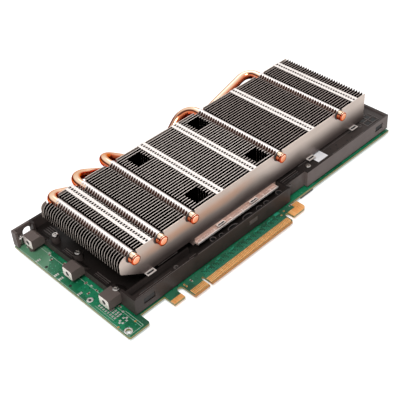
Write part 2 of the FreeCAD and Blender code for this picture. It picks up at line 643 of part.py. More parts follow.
def high_deck_corners():
    """Outline of the raised deck over the power stage, with its tongue beside the channel."""
    tongue = PLATE_NEAR_Y + LEDGE_DEPTH
    return [
        (RECESS_START_X, PLATE_NEAR_Y + RECESS_DEPTH), (RECESS_END_X, PLATE_NEAR_Y + RECESS_DEPTH),
        (RECESS_END_X, PLATE_FAR_NEAR_Y), (BOARD_LENGTH, PLATE_FAR_NEAR_Y),
        (BOARD_LENGTH, BOARD_HEIGHT), (HIGH_DECK_X, BOARD_HEIGHT),
        (HIGH_DECK_X, tongue), (RECESS_START_X, tongue),
    ]


def inset(corners, amount):
    """Rectilinear outline moved inwards by an amount; its corners run anticlockwise."""
    moved = []
    for i, (x, y) in enumerate(corners):
        before, after = corners[i - 1], corners[(i + 1) % len(corners)]
        shift = Vector(0, 0, 0)
        for start, end in ((before, (x, y)), ((x, y), after)):
            run = Vector(end[0] - start[0], end[1] - start[1], 0).normalize()
            shift += Vector(-run.y, run.x, 0) * amount
        moved.append((x + shift.x, y + shift.y))
    return moved


def tray_wall(corners, bottom, top):
    """Upright wall of the plate's thickness along an outline."""
    return plan(corners, bottom, top).cut(plan(inset(corners, PLATE_WALL), bottom, top))


def first_ledge():
    """Folded ledge beside the fins' front half: strip, trough, ridge and inner wall."""
    y = PLATE_NEAR_Y
    trough, trough_end = y + TROUGH_START, y + TROUGH_START + TROUGH_WIDTH
    ridge_end, inner = trough_end + RIDGE_WIDTH, trough_end + PLATE_WALL
    low = LEDGE_TOP_Z - TROUGH_DEPTH
    profile = [
        (y, DECK_BOTTOM_Z), (y, LEDGE_TOP_Z), (trough, LEDGE_TOP_Z), (trough, low), (trough_end, low),
        (trough_end, LEDGE_TOP_Z + RIDGE_HEIGHT), (ridge_end, LEDGE_TOP_Z + RIDGE_HEIGHT),
        (ridge_end, LEDGE_TOP_Z), (inner, LEDGE_TOP_Z), (inner, DECK_BOTTOM_Z),
        (inner - PLATE_WALL, DECK_BOTTOM_Z), (inner - PLATE_WALL, low - LEDGE_THICKNESS),
        (trough - LEDGE_THICKNESS, low - LEDGE_THICKNESS), (trough - LEDGE_THICKNESS, LEDGE_BOTTOM_Z),
        (y + PLATE_WALL, LEDGE_BOTTOM_Z), (y + PLATE_WALL, DECK_BOTTOM_Z),
    ]
    return end_profile(profile, PLATE_FRONT_X, LEDGE_GAP_START_X)


def channel_ribs():
    """Inner rib of the open channel and the webs that tie it to the near wall."""
    inner = (PLATE_NEAR_Y + CHANNEL_DEPTH - PLATE_WALL, PLATE_NEAR_Y + CHANNEL_DEPTH)
    level = (DECK_BOTTOM_Z, FLANGE_TOP_Z - FLANGE_THICKNESS - PLATE_WALL)
    ribs = [block((LEDGE_GAP_START_X, RECESS_START_X), inner, level)]
    for x in CHANNEL_WEBS_X:
        ribs.append(block(around(x, CHANNEL_WEB_WIDTH), (PLATE_NEAR_Y, inner[1]), level))
    return ribs


def bracket_arm(centre, level_length):
    """Arm that reaches over the foot to the slot bracket, sloping down to the deck."""
    top = ARM_BOTTOM_Z + ARM_HEIGHT
    level_end = ARM_FACE_X + level_length
    slope_end = max(level_end + ARM_SLOPE_LENGTH, PLATE_FRONT_X + PLATE_WALL)
    profile = [(ARM_FACE_X, ARM_BOTTOM_Z), (ARM_FACE_X, top), (level_end, top), (slope_end, DECK_TOP_Z),
               (slope_end, DECK_BOTTOM_Z), (PLATE_FRONT_X, DECK_BOTTOM_Z), (PLATE_FRONT_X, ARM_BOTTOM_Z)]
    return side_profile(profile, *around(centre, ARM_WIDTH))


def arm_thread(centre):
    """Blind tapped hole in an arm's end face."""
    z = ARM_BOTTOM_Z + ARM_HEIGHT / 2
    return Part.makeCylinder(ARM_THREAD_RADIUS, ARM_THREAD_DEPTH, Vector(ARM_FACE_X, centre, z), Vector(1, 0, 0))


def rim_corner():
    """The rim's run past the tray to the bracket end, its return, screw pad and arch."""
    rim = (BOARD_HEIGHT - PLATE_WALL, BOARD_HEIGHT)
    level = (PLATE_BOTTOM_Z, NEAR_WALL_TOP_Z)
    back = (BOARD_HEIGHT - CORNER_RETURN, BOARD_HEIGHT)
    run = block((0, PLATE_FRONT_X + PLATE_WALL), rim, level)
    pad_top = corner_pad_top()
    pad = block((0, corner_screw_x() + PLATE_HEAD_RADIUS + CORNER_PAD_MARGIN), back,
                (pad_top - PLATE_SCREW_LENGTH, pad_top))
    corner = joined([run, block((0, PLATE_WALL), back, level), pad])
    arch = [(ARCH_START_X, ARCH_BOTTOM_Z), (ARCH_START_X + ARCH_WIDTH, ARCH_BOTTOM_Z),
            (ARCH_START_X + ARCH_WIDTH, ARCH_BOTTOM_Z + ARCH_HEIGHT, ARCH_WIDTH / 2 - SCREW_CLEARANCE),
            (ARCH_START_X, ARCH_BOTTOM_Z + ARCH_HEIGHT, ARCH_WIDTH / 2 - SCREW_CLEARANCE)]
    return corner.cut(side_profile(arch, rim[0] - 1, rim[1] + 1))


def corner_pad_top():
    """Height of the pad that carries the corner screw."""
    return NEAR_WALL_TOP_Z - ARM_HEIGHT + PLATE_HEAD_HEIGHT


def corner_screw_x():
    """The corner screw's head stands clear of the rim's return."""
    return PLATE_WALL + SCREW_CLEARANCE + PLATE_HEAD_RADIUS


def deck_openings():
    """Cut-outs of the decks: round the processor, and over the power sockets."""
    margin = DECK_OPENING_MARGIN
    x = (WELLS_X[0] - margin, WELLS_X[1] + margin)
    y = (WELLS_Y[0] - margin, WELLS_Y[1] + margin)
    total = sum(socket_width(columns) for columns in SOCKET_COLUMNS) + SOCKET_GAP
    sockets = (SOCKET_START_X - PLATE_WALL, SOCKET_START_X + total + PLATE_WALL)
    depth = (BOARD_HEIGHT - SOCKET_DEPTH - PLATE_WALL, BOARD_HEIGHT + 1)
    return [block(x, y, (0, LEDGE_TOP_Z)), block(sockets, depth, (0, STACK_TOP_Z))]


def wall_windows():
    """Shallow windows sunk into the outer face of the near wall."""
    level = (WINDOW_BOTTOM_Z, WINDOW_BOTTOM_Z + WINDOW_HEIGHT)
    faces = (PLATE_NEAR_Y, PLATE_FAR_NEAR_Y)
    return [block((x, x + WINDOW_LENGTH), (face - 1, face + WINDOW_DEPTH), level)
            for x, face in zip(WINDOWS_X, faces)]


def plate_screw_seats():
    """Seats of the screws seen from above: x, y and the height of the seat."""
    seats = [(x, y, PLATE_POST_TOP_Z) for x, y in PLATE_POSTS]
    inwards = PLATE_WALL + SCREW_CLEARANCE + PLATE_HEAD_RADIUS
    seats.append((corner_screw_x(), BOARD_HEIGHT - inwards, corner_pad_top()))
    seats.append((ARM_FACE_X + ARM_LEVEL_LENGTHS[0] - PLATE_HEAD_RADIUS, ARM_CENTRES_Y[0],
                  ARM_BOTTOM_Z + ARM_HEIGHT))
    seats.append((*LEDGE_SCREW, LEDGE_TOP_Z))
    return seats


def make_plate_screws():
    """Pan-head screws seen from above."""
    screws = []
    for x, y, seat in plate_screw_seats():
        head = post(x, y, PLATE_HEAD_RADIUS, seat, seat + PLATE_HEAD_HEIGHT)
        screws.append(joined([head, post(x, y, PLATE_SCREW_RADIUS, seat - PLATE_SCREW_LENGTH, seat)]))
    return group(screws)


def board_screw_top():
    """Height that a screw from the back reaches."""
    return BOARD_THICKNESS + BOARD_SCREW_GRIP


def make_board_screws():
    """Screws that hold the base plate from the back of the board."""
    screws = []
    for x, y in BOARD_SCREWS:
        head = post(x, y, BOARD_HEAD_RADIUS, -BOARD_HEAD_HEIGHT, 0)
        screws.append(joined([head, post(x, y, BOARD_SCREW_RADIUS, 0, board_screw_top())]))
    return group(screws)


def plate_posts():
    """Posts of the base plate: under its screws, at the board screws and under the upper arm."""
    posts = [post(x, y, POST_RADIUS, DECK_BOTTOM_Z, PLATE_POST_TOP_Z) for x, y in PLATE_POSTS]
    ledge_x, ledge_y = LEDGE_SCREW
    posts.append(post(ledge_x, ledge_y, POST_RADIUS, LEDGE_TOP_Z - PLATE_SCREW_LENGTH - 1, LEDGE_TOP_Z))
    for x, y in BOARD_SCREWS:
        top = LEDGE_BOTTOM_Z + 1 if x > HIGH_DECK_X else DECK_BOTTOM_Z + 1
        posts.append(post(x, y, POST_RADIUS, BOARD_THICKNESS, top))
    posts.append(post(ARM_FACE_X + ARM_FOOT_RADIUS, ARM_CENTRES_Y[-1], ARM_FOOT_RADIUS, BOARD_THICKNESS,
                      ARM_BOTTOM_Z + 1))
    return posts


def plate_screw_holes():
    """Holes of the base plate's screws, from above and from the back."""
    holes = [post(x, y, PLATE_SCREW_RADIUS + SCREW_CLEARANCE, seat - PLATE_SCREW_LENGTH, seat + 1)
             for x, y, seat in plate_screw_seats()]
    holes += [post(x, y, BOARD_SCREW_RADIUS + SCREW_CLEARANCE, 0, board_screw_top()) for x, y in BOARD_SCREWS]
    return holes


def make_base_plate():
    """Black cast plate: tray, ledges, raised deck, rim, arms and posts in one piece."""
    tray, high = plate_corners(), high_deck_corners()
    y = (INDUCTOR_START_Y - INDUCTOR_SIZE / 2, INDUCTOR_START_Y + (INDUCTOR_COUNT - 0.5) * INDUCTOR_PITCH)
    rail_bottom = BOARD_THICKNESS + TRANSISTOR_HEIGHT + TRANSISTOR_PAD + PAD_GAP
    solids = [
        tray_wall(tray, PLATE_BOTTOM_Z, NEAR_WALL_TOP_Z),
        plan(tray, DECK_BOTTOM_Z, DECK_TOP_Z).cut(plan(high, DECK_BOTTOM_Z, DECK_TOP_Z)),
        plan(high, LEDGE_BOTTOM_Z, LEDGE_TOP_Z),
        tray_wall(high, DECK_BOTTOM_Z, LEDGE_TOP_Z),
        first_ledge(),
        block(around(RAIL_X, RAIL_WIDTH), y, (rail_bottom, LEDGE_BOTTOM_Z)),
        rim_corner(),
    ]
    solids += channel_ribs()
    solids += [bracket_arm(y, length) for y, length in zip(ARM_CENTRES_Y, ARM_LEVEL_LENGTHS)]
    front = block((0, PLATE_FRONT_X + PLATE_WALL), (PLATE_NEAR_Y + LEDGE_DEPTH, BOARD_HEIGHT - CORNER_RETURN),
                  (DECK_TOP_Z + PLATE_WALL, STACK_TOP_Z))
    solids[0] = solids[0].cut(front)
    hollow = block((PLATE_FRONT_X + PLATE_WALL, LEDGE_GAP_START_X),
                   (PLATE_NEAR_Y + PLATE_WALL, PLATE_NEAR_Y + TROUGH_START + TROUGH_WIDTH),
                   (DECK_BOTTOM_Z, DECK_TOP_Z))
    solids[1] = solids[1].cut(hollow)
    plate = joined(solids + plate_posts())
    cuts = deck_openings() + wall_windows() + plate_screw_holes() + [arm_thread(y) for y in ARM_CENTRES_Y]
    return plate.cut(cuts).removeSplitter()


# ---------------------------------------------------------------- parts on the board
def make_processor_package():
    """Processor package on the board."""
    level = (BOARD_THICKNESS, BOARD_THICKNESS + PACKAGE_THICKNESS)
    return block(around(PROCESSOR_X, PACKAGE_SIZE), around(PROCESSOR_Y, PACKAGE_SIZE), level)


def make_heat_spreader():
    """Stepped lid of the processor."""
    bottom = BOARD_THICKNESS + PACKAGE_THICKNESS
    inner = SPREADER_SIZE - 2 * SPREADER_RIM
    rim = block(around(PROCESSOR_X, SPREADER_SIZE), around(PROCESSOR_Y, SPREADER_SIZE),
                (bottom, bottom + SPREADER_RIM_THICKNESS))
    top = block(around(PROCESSOR_X, inner), around(PROCESSOR_Y, inner), (bottom, SPREADER_TOP_Z - PAD_GAP))
    return joined([rim, top])


def memory_places():
    """Centres and sizes of the memory chips: a column on each side and a row above."""
    half = (MEMORY_PER_SIDE - 1) / 2
    steps = [(i - half) * MEMORY_PITCH for i in range(MEMORY_PER_SIDE)]
    places = []
    for side in (-1, 1):
        x = PROCESSOR_X + side * MEMORY_COLUMN_OFFSET
        places += [(x, PROCESSOR_Y + step, MEMORY_WIDTH, MEMORY_LENGTH) for step in steps]
    places += [(PROCESSOR_X + step, BOARD_HEIGHT - MEMORY_ROW_INSET, MEMORY_LENGTH, MEMORY_WIDTH)
               for step in steps]
    return places


def memory_layer(bottom, top):
    """Memory-sized slabs between two heights."""
    return group([block(around(x, width), around(y, length), (bottom, top))
                  for x, y, width, length in memory_places()])


def column(x, start, pitch, count):
    """Centres of a column of like parts."""
    return [(x, start + i * pitch) for i in range(count)]


def make_inductors():
    """Chokes of the power stage."""
    level = (BOARD_THICKNESS, BOARD_THICKNESS + INDUCTOR_HEIGHT)
    places = column(INDUCTOR_COLUMN_X, INDUCTOR_START_Y, INDUCTOR_PITCH, INDUCTOR_COUNT)
    return group([block(around(x, INDUCTOR_SIZE), around(y, INDUCTOR_SIZE), level) for x, y in places])


def make_transistors():
    """Power transistors beside the chokes."""
    level = (BOARD_THICKNESS, BOARD_THICKNESS + TRANSISTOR_HEIGHT)
    places = column(RAIL_X, INDUCTOR_START_Y, INDUCTOR_PITCH, INDUCTOR_COUNT)
    return group([block(around(x, TRANSISTOR_LENGTH), around(y, TRANSISTOR_WIDTH), level) for x, y in places])


def make_transistor_pad():
    """Thermal pad between the transistors and the plate's rail."""
    bottom = BOARD_THICKNESS + TRANSISTOR_HEIGHT
    y = (INDUCTOR_START_Y - TRANSISTOR_WIDTH / 2,
         INDUCTOR_START_Y + (INDUCTOR_COUNT - 1) * INDUCTOR_PITCH + TRANSISTOR_WIDTH / 2)
    return block(around(RAIL_X, TRANSISTOR_LENGTH), y, (bottom, bottom + TRANSISTOR_PAD))


def make_capacitors():
    """Bulk capacitors of the power input."""
    places = column(CAPACITOR_COLUMN_X, CAPACITOR_START_Y, CAPACITOR_PITCH, CAPACITOR_COUNT)
    return group([post(x, y, CAPACITOR_RADIUS, BOARD_THICKNESS, BOARD_THICKNESS + CAPACITOR_HEIGHT)
                  for x, y in places])


def socket_width(columns):
    """Outer width of a power socket."""
    return columns * SOCKET_PITCH + 2 * SOCKET_WALL


def socket_start(number):
    """Where a power socket begins."""
    before = [socket_width(columns) + SOCKET_GAP for columns in SOCKET_COLUMNS[:number]]
    return SOCKET_START_X + sum(before)


def make_power_socket(number):
    """Shroud of a power socket that opens at the board's top edge, with its latch ridge."""
    x0, width = socket_start(number), socket_width(SOCKET_COLUMNS[number])
    z0 = BOARD_THICKNESS
    z1 = z0 + SOCKET_LIFT + SOCKET_ROWS * SOCKET_PITCH + 2 * SOCKET_WALL
    y = (BOARD_HEIGHT - SOCKET_DEPTH, BOARD_HEIGHT)
    shroud = block((x0, x0 + width), y, (z0, z1))
    latch = block(around(x0 + width / 2, SOCKET_LATCH_WIDTH), (BOARD_HEIGHT - SOCKET_DEPTH / 2, BOARD_HEIGHT),
                  (z1, z1 + SOCKET_LATCH_HEIGHT))
    cavity = block((x0 + SOCKET_WALL, x0 + width - SOCKET_WALL), (BOARD_HEIGHT - SOCKET_CAVITY, BOARD_HEIGHT + 1),
                   (z0 + SOCKET_LIFT + SOCKET_WALL, z1 - SOCKET_WALL))
    return joined([shroud, latch]).cut(cavity)


def make_power_pins():
    """Pins on the floors of both power sockets."""
    pins = []
    floor = BOARD_HEIGHT - SOCKET_CAVITY
    for number, columns in enumerate(SOCKET_COLUMNS):
        for i in range(columns):
            x = socket_start(number) + SOCKET_WALL + (i + 0.5) * SOCKET_PITCH
            for row in range(SOCKET_ROWS):
                z = BOARD_THICKNESS + SOCKET_LIFT + SOCKET_WALL + (row + 0.5) * SOCKET_PITCH
                pins.append(block(around(x, PIN_WIDTH), (floor, floor + PIN_LENGTH), around(z, PIN_WIDTH)))
    return group(pins)


def make_label():
    """Blank label on the raised deck."""
    near = PLATE_FAR_NEAR_Y + LABEL_IN + PLATE_WALL
    return block((LABEL_START_X, LABEL_START_X + LABEL_SIZE), (near, near + LABEL_SIZE),
                 (LEDGE_TOP_Z, LEDGE_TOP_Z + LABEL_THICKNESS))


def make_rear_chip():
    """Flat part under the board's near edge."""
    return block((REAR_CHIP_START_X, REAR_CHIP_START_X + REAR_CHIP_LENGTH),
                 (BODY_EDGE_Y, BODY_EDGE_Y + REAR_CHIP_WIDTH), (-REAR_CHIP_THICKNESS, 0))


# ---------------------------------------------------------------- the card
def make_nodes():
    """Every node by name, in the board frame."""
    memory_top = BOARD_THICKNESS + MEMORY_THICKNESS
    return {
        "board": make_board(),
        "front_contacts": make_contacts(BOARD_THICKNESS),
        "rear_contacts": make_contacts(-PLATING),
        "retention_plating": make_retention_plating(),
        "base_plate": make_base_plate(),
        "plate_screws": make_plate_screws(),
        "board_screws": make_board_screws(),
        "heatsink_base": make_heatsink_base(),
        "contact_plate": make_contact_plate(),
        "near_fin": make_near_fin(),
        "fin_stack": make_fin_stack(),
        "far_fin": make_fin(FIN_COUNT - 1, OUTER_NOTCH_STEPS, OUTER_NOSE_STEPS, NOTCH_CLEARANCE + BEND_RELIEF),
        "fin_tabs": make_fin_tabs(),
        "fin_clips": make_fin_clips(),
        "heat_pipes": make_heat_pipes(),
        "pipe_collars": make_pipe_collars(),
        "spring_screws": make_spring_screws(),
        "screw_springs": make_screw_springs(),
        "rear_brace": make_rear_brace(),
        "processor_package": make_processor_package(),
        "heat_spreader": make_heat_spreader(),
        "front_memory": memory_layer(BOARD_THICKNESS, memory_top),
        "rear_memory": memory_layer(-MEMORY_THICKNESS, 0),
        "memory_pads": memory_layer(memory_top, DECK_BOTTOM_Z - PAD_GAP),
        "inductors": make_inductors(),
        "transistors": make_transistors(),
        "transistor_pad": make_transistor_pad(),
        "capacitors": make_capacitors(),
        "power_socket_8": make_power_socket(0),
        "power_socket_6": make_power_socket(1),
        "power_pins": make_power_pins(),
        "label": make_label(),
        "rear_chip": make_rear_chip(),
    }


def resting_point(nodes):
    """Point under the middle of the card, on the surface it lies on."""
    box = group(list(nodes.values())).optimalBoundingBox(False, False)
    return Vector(box.Center.x, box.Center.y, box.ZMin)


def main():
    """Builds the card and writes one STEP file a node."""
    os.makedirs("parts", exist_ok=True)
    nodes = make_nodes()
    origin = resting_point(nodes)
    for name, shape in nodes.items():
        shape.translate(origin * -1)
        shape.exportStep(f"parts/{name}.step")
    print("origin in the board frame:", origin)


main()
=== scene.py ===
"""A passive accelerator card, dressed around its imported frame.

Sizes are millimetres on the board's datum: x runs along the card from the
bracket end, y up from the tips of the edge contacts, and z up from the
underside of the board. A Datum turns them into the model's metres.
"""

from __future__ import annotations

import logging
import math
from dataclasses import dataclass
from enum import Enum
from typing import Any, Sequence

import bmesh
import bpy
from mathutils import Euler, Matrix, Vector

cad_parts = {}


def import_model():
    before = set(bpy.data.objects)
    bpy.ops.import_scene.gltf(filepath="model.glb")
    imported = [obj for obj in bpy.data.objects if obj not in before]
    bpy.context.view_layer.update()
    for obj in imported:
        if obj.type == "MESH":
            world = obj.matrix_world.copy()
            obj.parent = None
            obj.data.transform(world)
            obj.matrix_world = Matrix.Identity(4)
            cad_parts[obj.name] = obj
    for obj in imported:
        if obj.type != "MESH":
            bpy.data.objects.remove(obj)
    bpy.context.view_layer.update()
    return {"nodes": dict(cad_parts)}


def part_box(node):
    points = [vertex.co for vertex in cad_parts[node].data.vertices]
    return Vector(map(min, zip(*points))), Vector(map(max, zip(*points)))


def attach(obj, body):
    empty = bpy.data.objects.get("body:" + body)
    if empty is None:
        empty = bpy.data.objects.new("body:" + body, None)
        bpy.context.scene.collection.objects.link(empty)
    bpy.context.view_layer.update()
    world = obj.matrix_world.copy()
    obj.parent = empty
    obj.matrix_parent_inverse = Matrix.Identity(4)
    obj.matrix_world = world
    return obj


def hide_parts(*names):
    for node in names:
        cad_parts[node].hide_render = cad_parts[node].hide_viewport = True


log = logging.getLogger("card")

MM = 0.001
CORNER = math.radians(32)
BODY = "root"
Colour = tuple[float, float, float]
Triple = tuple[float, float, float]
Pair = tuple[float, float]
Row = tuple[float, ...]
Socket = bpy.types.NodeSocket


# ------------------------------------------------------------------ tools
@dataclass(frozen=True)
class Datum:
    """The board's datum in the model's frame."""

    origin: Vector

    def point(self, x: float, y: float, z: float) -> Vector:
        """A place on the board as a point of the model, in metres."""
        return self.origin + Vector((x, y, z)) * MM

    def move(self, mesh: bpy.types.Mesh) -> bpy.types.Mesh:
        """Turns a mesh drawn on the board's datum into metres of the model."""
        mesh.transform(Matrix.Translation(self.origin) @ Matrix.Scale(MM, 4))
        return mesh


def smooth(mesh: bpy.types.Mesh) -> bpy.types.Mesh:
    """Smooths a mesh but for its corners."""
    mesh.polygons.foreach_set("use_smooth", [True] * len(mesh.polygons))
    mesh.set_sharp_from_angle(angle=CORNER)
    return mesh


class Sketch:
    """Collects simple solids, in millimetres, into one mesh."""

    def __init__(self) -> None:
        """Starts with nothing drawn."""
        self.mesh = bmesh.new()

    def loft(self, rings: Sequence[Sequence[Triple]], looped: bool = False) -> Sketch:
        """Adds a skin over rings of points.

        Args:
            rings: Closed rings, each with as many points.
            looped: Whether the last ring meets the first. If not, both ends are capped.

        Returns:
            The sketch itself.
        """
        made = [[self.mesh.verts.new(point) for point in ring] for ring in rings]
        for low, high in zip(made, made[1:] + made[:1] if looped else made[1:]):
            for i in range(len(low)):
                j = (i + 1) % len(low)
                self.mesh.faces.new((low[i], low[j], high[j], high[i]))
        if not looped:
            self.mesh.faces.new(made[0][::-1])
            self.mesh.faces.new(made[-1])
        return self

    def block(self, x: Pair, y: Pair, z: Pair) -> Sketch:
        """Adds a block between three pairs of limits."""
        return self.loft([[(x[0], y[0], h), (x[1], y[0], h), (x[1], y[1], h), (x[0], y[1], h)] for h in z])

    def plate(self, outline: Sequence[Pair], levels: Sequence[Pair]) -> Sketch:
        """Adds an outline that's drawn at several heights, each with its own size."""
        return self.loft([[(a * size, b * size, height) for a, b in outline] for size, height in levels])

    def lathe(self, profile: Sequence[Pair], sides: int, centre: Triple = (0, 0, 0), looped: bool = False,
              level: bool = False) -> Sketch:
        """Adds a turned solid.

        Args:
            profile: Radius and height of each ring, from the bottom up.
            sides: Number of flats round it.
            centre: Where its axis stands.
            looped: Whether the profile closes on itself, as a washer's does.
            level: Whether the axis lies along y instead of standing up.

        Returns:
            The sketch itself.
        """
        rings = []
        for radius, height in profile:
            turns = [math.tau * i / sides for i in range(sides)]
            flat = [(radius * math.cos(turn), radius * math.sin(turn)) for turn in turns]
            ring = [(a, height, b) if level else (a, b, height) for a, b in flat]
            rings.append([tuple(c + s for c, s in zip(centre, spot)) for spot in ring])
        return self.loft(rings, looped)

    def done(self, name: str) -> bpy.types.Mesh:
        """Returns the sketch as a mesh with its faces outward."""
        mesh = bpy.data.meshes.new(name)
        bmesh.ops.recalc_face_normals(self.mesh, faces=self.mesh.faces)
        self.mesh.to_mesh(mesh)
        return smooth(mesh)


class Wiring:
    """Adds and wires the nodes of one tree."""

    prefix = "ShaderNode"

    def __init__(self, group: bpy.types.NodeTree) -> None:
        """Takes up a tree."""
        self.group = group

    def add(self, kind: str, settings: dict[str, Any] | None = None, **inputs: Any) -> bpy.types.Node:
        """Adds a node.

        Args:
            kind: Its type, without the tree's own prefix.
            settings: Properties of the node.
            **inputs: Values or sockets for its inputs. A name has underscores
                for its spaces, and a number follows one.

        Returns:
            The node.
        """
        known = kind if kind.startswith(("Shader", "Function")) else self.prefix + kind
        node = self.group.nodes.new(known)
        for key, value in (settings or {}).items():
            setattr(node, key, value)
        for key, value in inputs.items():
            self.wire(value, node, int(key[1:]) if key.startswith("_") else key.replace("_", " "))
        return node

    def wire(self, value: Any, node: bpy.types.Node, key: str | int) -> None:
        """Sets one input of a node, or links a socket to it."""
        if isinstance(value, Socket):
            self.group.links.new(value, node.inputs[key])
        else:
            node.inputs[key].default_value = value

    def math(self, operation: str, a: Any, b: Any = 0.0) -> Socket:
        """The result of one sum."""
        return self.add("ShaderNodeMath", {"operation": operation}, _0=a, _1=b).outputs[0]

    def directly_seen(self) -> Socket:
        """One on rays from the camera, and on those that mirrors and glass send on."""
        ray = self.add("LightPath").outputs
        seen = self.math("MAXIMUM", ray["Is Camera Ray"], ray["Is Glossy Ray"])
        return self.math("MAXIMUM", seen, ray["Is Transmission Ray"])


class Tree(Wiring):
    """One Geometry Nodes tree with named inputs."""

    prefix = "GeometryNode"

    def __init__(self, name: str) -> None:
        """Starts a tree that takes and gives geometry."""
        super().__init__(bpy.data.node_groups.new(name, "GeometryNodeTree"))
        for way in ("INPUT", "OUTPUT"):
            self.group.interface.new_socket("Geometry", in_out=way, socket_type="NodeSocketGeometry")
        self.entry = self.group.nodes.new("NodeGroupInput")
        self.exit = self.group.nodes.new("NodeGroupOutput")
        self.values: dict[str, Any] = {}

    def size(self, name: str, value: Any, kind: str = "Float") -> Socket:
        """Adds a named input.

        Args:
            name: What the input sets.
            value: What this tree's object gives it.
            kind: Type of the socket.

        Returns:
            The socket to link from.
        """
        socket = self.group.interface.new_socket(name, in_out="INPUT", socket_type="NodeSocket" + kind)
        self.values[socket.identifier] = value
        return self.entry.outputs[name]

    def attribute(self, name: str, kind: str = "FLOAT_VECTOR") -> Socket:
        """What the points of the tree's object hold under a name."""
        return self.add("InputNamedAttribute", {"data_type": kind}, Name=name).outputs[0]

    def tube(self, curve: Socket, radius: Socket, flats: Any, **inputs: Any) -> Socket:
        """Sweeps a circle along a curve."""
        ring = self.add("CurvePrimitiveCircle", {"mode": "RADIUS"}, Resolution=flats, Radius=radius)
        return self.add("CurveToMesh", Curve=curve, Profile_Curve=ring.outputs[0], Fill_Caps=True,
                        **inputs).outputs[0]

    def apply(self, piece: bpy.types.Object, geometry: Socket, material: bpy.types.Material) -> None:
        """Runs the tree on a piece and keeps the result as its mesh.

        Args:
            piece: The object whose mesh the tree starts from.
            geometry: The socket that ends the tree.
            material: The finish of the result.
        """
        solid = self.add("RealizeInstances", Geometry=geometry)
        dressed = self.add("SetMaterial", Geometry=solid.outputs[0], Material=material)
        self.wire(dressed.outputs[0], self.exit, 0)
        modifier = piece.modifiers.new("make", "NODES")
        modifier.node_group = self.group
        for identifier, value in self.values.items():
            modifier[identifier] = value
        graph = bpy.context.evaluated_depsgraph_get()
        mesh = bpy.data.meshes.new_from_object(piece.evaluated_get(graph), depsgraph=graph)
        piece.modifiers.remove(modifier)
        piece.data = mesh


def new_object(name: str, data: Any) -> bpy.types.Object:
    """A new object in the scene."""
    piece = bpy.data.objects.new(name, data)
    bpy.context.scene.collection.objects.link(piece)
    return piece


def points_mesh(name: str, places: Sequence[Vector], **numbers: Sequence[Any]) -> bpy.types.Mesh:
    """A mesh of loose points.

    Args:
        name: Name of the mesh.
        places: The points.
        **numbers: A number or a vector for each point, by attribute.

    Returns:
        The mesh.
    """
    mesh = bpy.data.meshes.new(name)
    mesh.from_pydata([tuple(p) for p in places], [], [])
    for key, values in numbers.items():
        if isinstance(values[0], tuple):
            flat = [number for value in values for number in value]
            mesh.attributes.new(key, "FLOAT_VECTOR", "POINT").data.foreach_set("vector", flat)
        else:
            mesh.attributes.new(key, "FLOAT", "POINT").data.foreach_set("value", list(values))
    return mesh


class Slot(Enum):
    """Material slots of the record."""

    BOARD = "board"
    GOLD = "gold"
    PLATE = "base_plate"
    STEEL = "steel"
    FINS = "fins"
    COPPER = "copper"


@dataclass(frozen=True)
class Stand:
    """Where one copy of a repeated form stands, its size and its turn in degrees."""

    x: float
    y: float
    z: float = 0.0
    long: float = 1.0
    wide: float = 1.0
    high: float = 1.0
    turn: float = 0.0


@dataclass
class Shop:
    """What every sub-assembly is made with: the datum and the finishes."""

    datum: Datum
    materials: dict[str, bpy.types.Material]

    def file(self, piece: bpy.types.Object, slot: Slot, *nodes: str) -> None:
        """Fastens a finished piece to the card.

        Args:
            piece: The piece.
            slot: Slot of the record that its finish belongs to. Not used here.
            *nodes: CAD nodes that it stands for.
        """
        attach(piece, BODY)
        if nodes:
            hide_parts(*nodes)
        log.info("%s: %d faces", piece.name, len(piece.data.polygons))

    def solid(self, name: str, sketch: Sketch, finish: str, slot: Slot, *nodes: str) -> None:
        """Makes one piece of a sketch drawn on the board's datum."""
        mesh = self.datum.move(sketch.done(name))
        mesh.materials.append(self.materials[finish])
        self.file(new_object(name, mesh), slot, *nodes)

    def repeat(self, name: str, form: Sketch, rows: Sequence[Sequence[float]], finish: str, slot: Slot,
               *nodes: str) -> None:
        """Makes one piece of many copies of a form, with Geometry Nodes.

        Args:
            name: Name of the piece.
            form: What is repeated, in millimetres round its own origin.
            rows: What Stand says of each copy, as far as it matters.
            finish: Name of the finish.
            slot: Slot of the record.
            *nodes: CAD nodes that the piece stands for.
        """
        stands = [Stand(*row) for row in rows]
        mesh = points_mesh(name, [self.datum.point(s.x, s.y, s.z) for s in stands],
                           size=[(s.long, s.wide, s.high) for s in stands],
                           turn=[(0.0, 0.0, math.radians(s.turn)) for s in stands])
        piece = new_object(name, mesh)
        pattern = new_object(name + "_form", form.done(name + "_form"))
        tree = Tree(name)
        source = tree.add("ObjectInfo", Object=tree.size("Form", pattern, "Object"))
        real = tree.add("ShaderNodeVectorMath", {"operation": "SCALE"}, Vector=tree.attribute("size"),
                        Scale=tree.size("Millimetre", MM))
        angle = tree.add("FunctionNodeEulerToRotation", Euler=tree.attribute("turn"))
        copies = tree.add("InstanceOnPoints", Points=tree.entry.outputs[0], Instance=source.outputs["Geometry"],
                          Rotation=angle.outputs[0], Scale=real.outputs[0])
        tree.apply(piece, copies.outputs[0], self.materials[finish])
        bpy.data.objects.remove(pattern)
        self.file(piece, slot, *nodes)


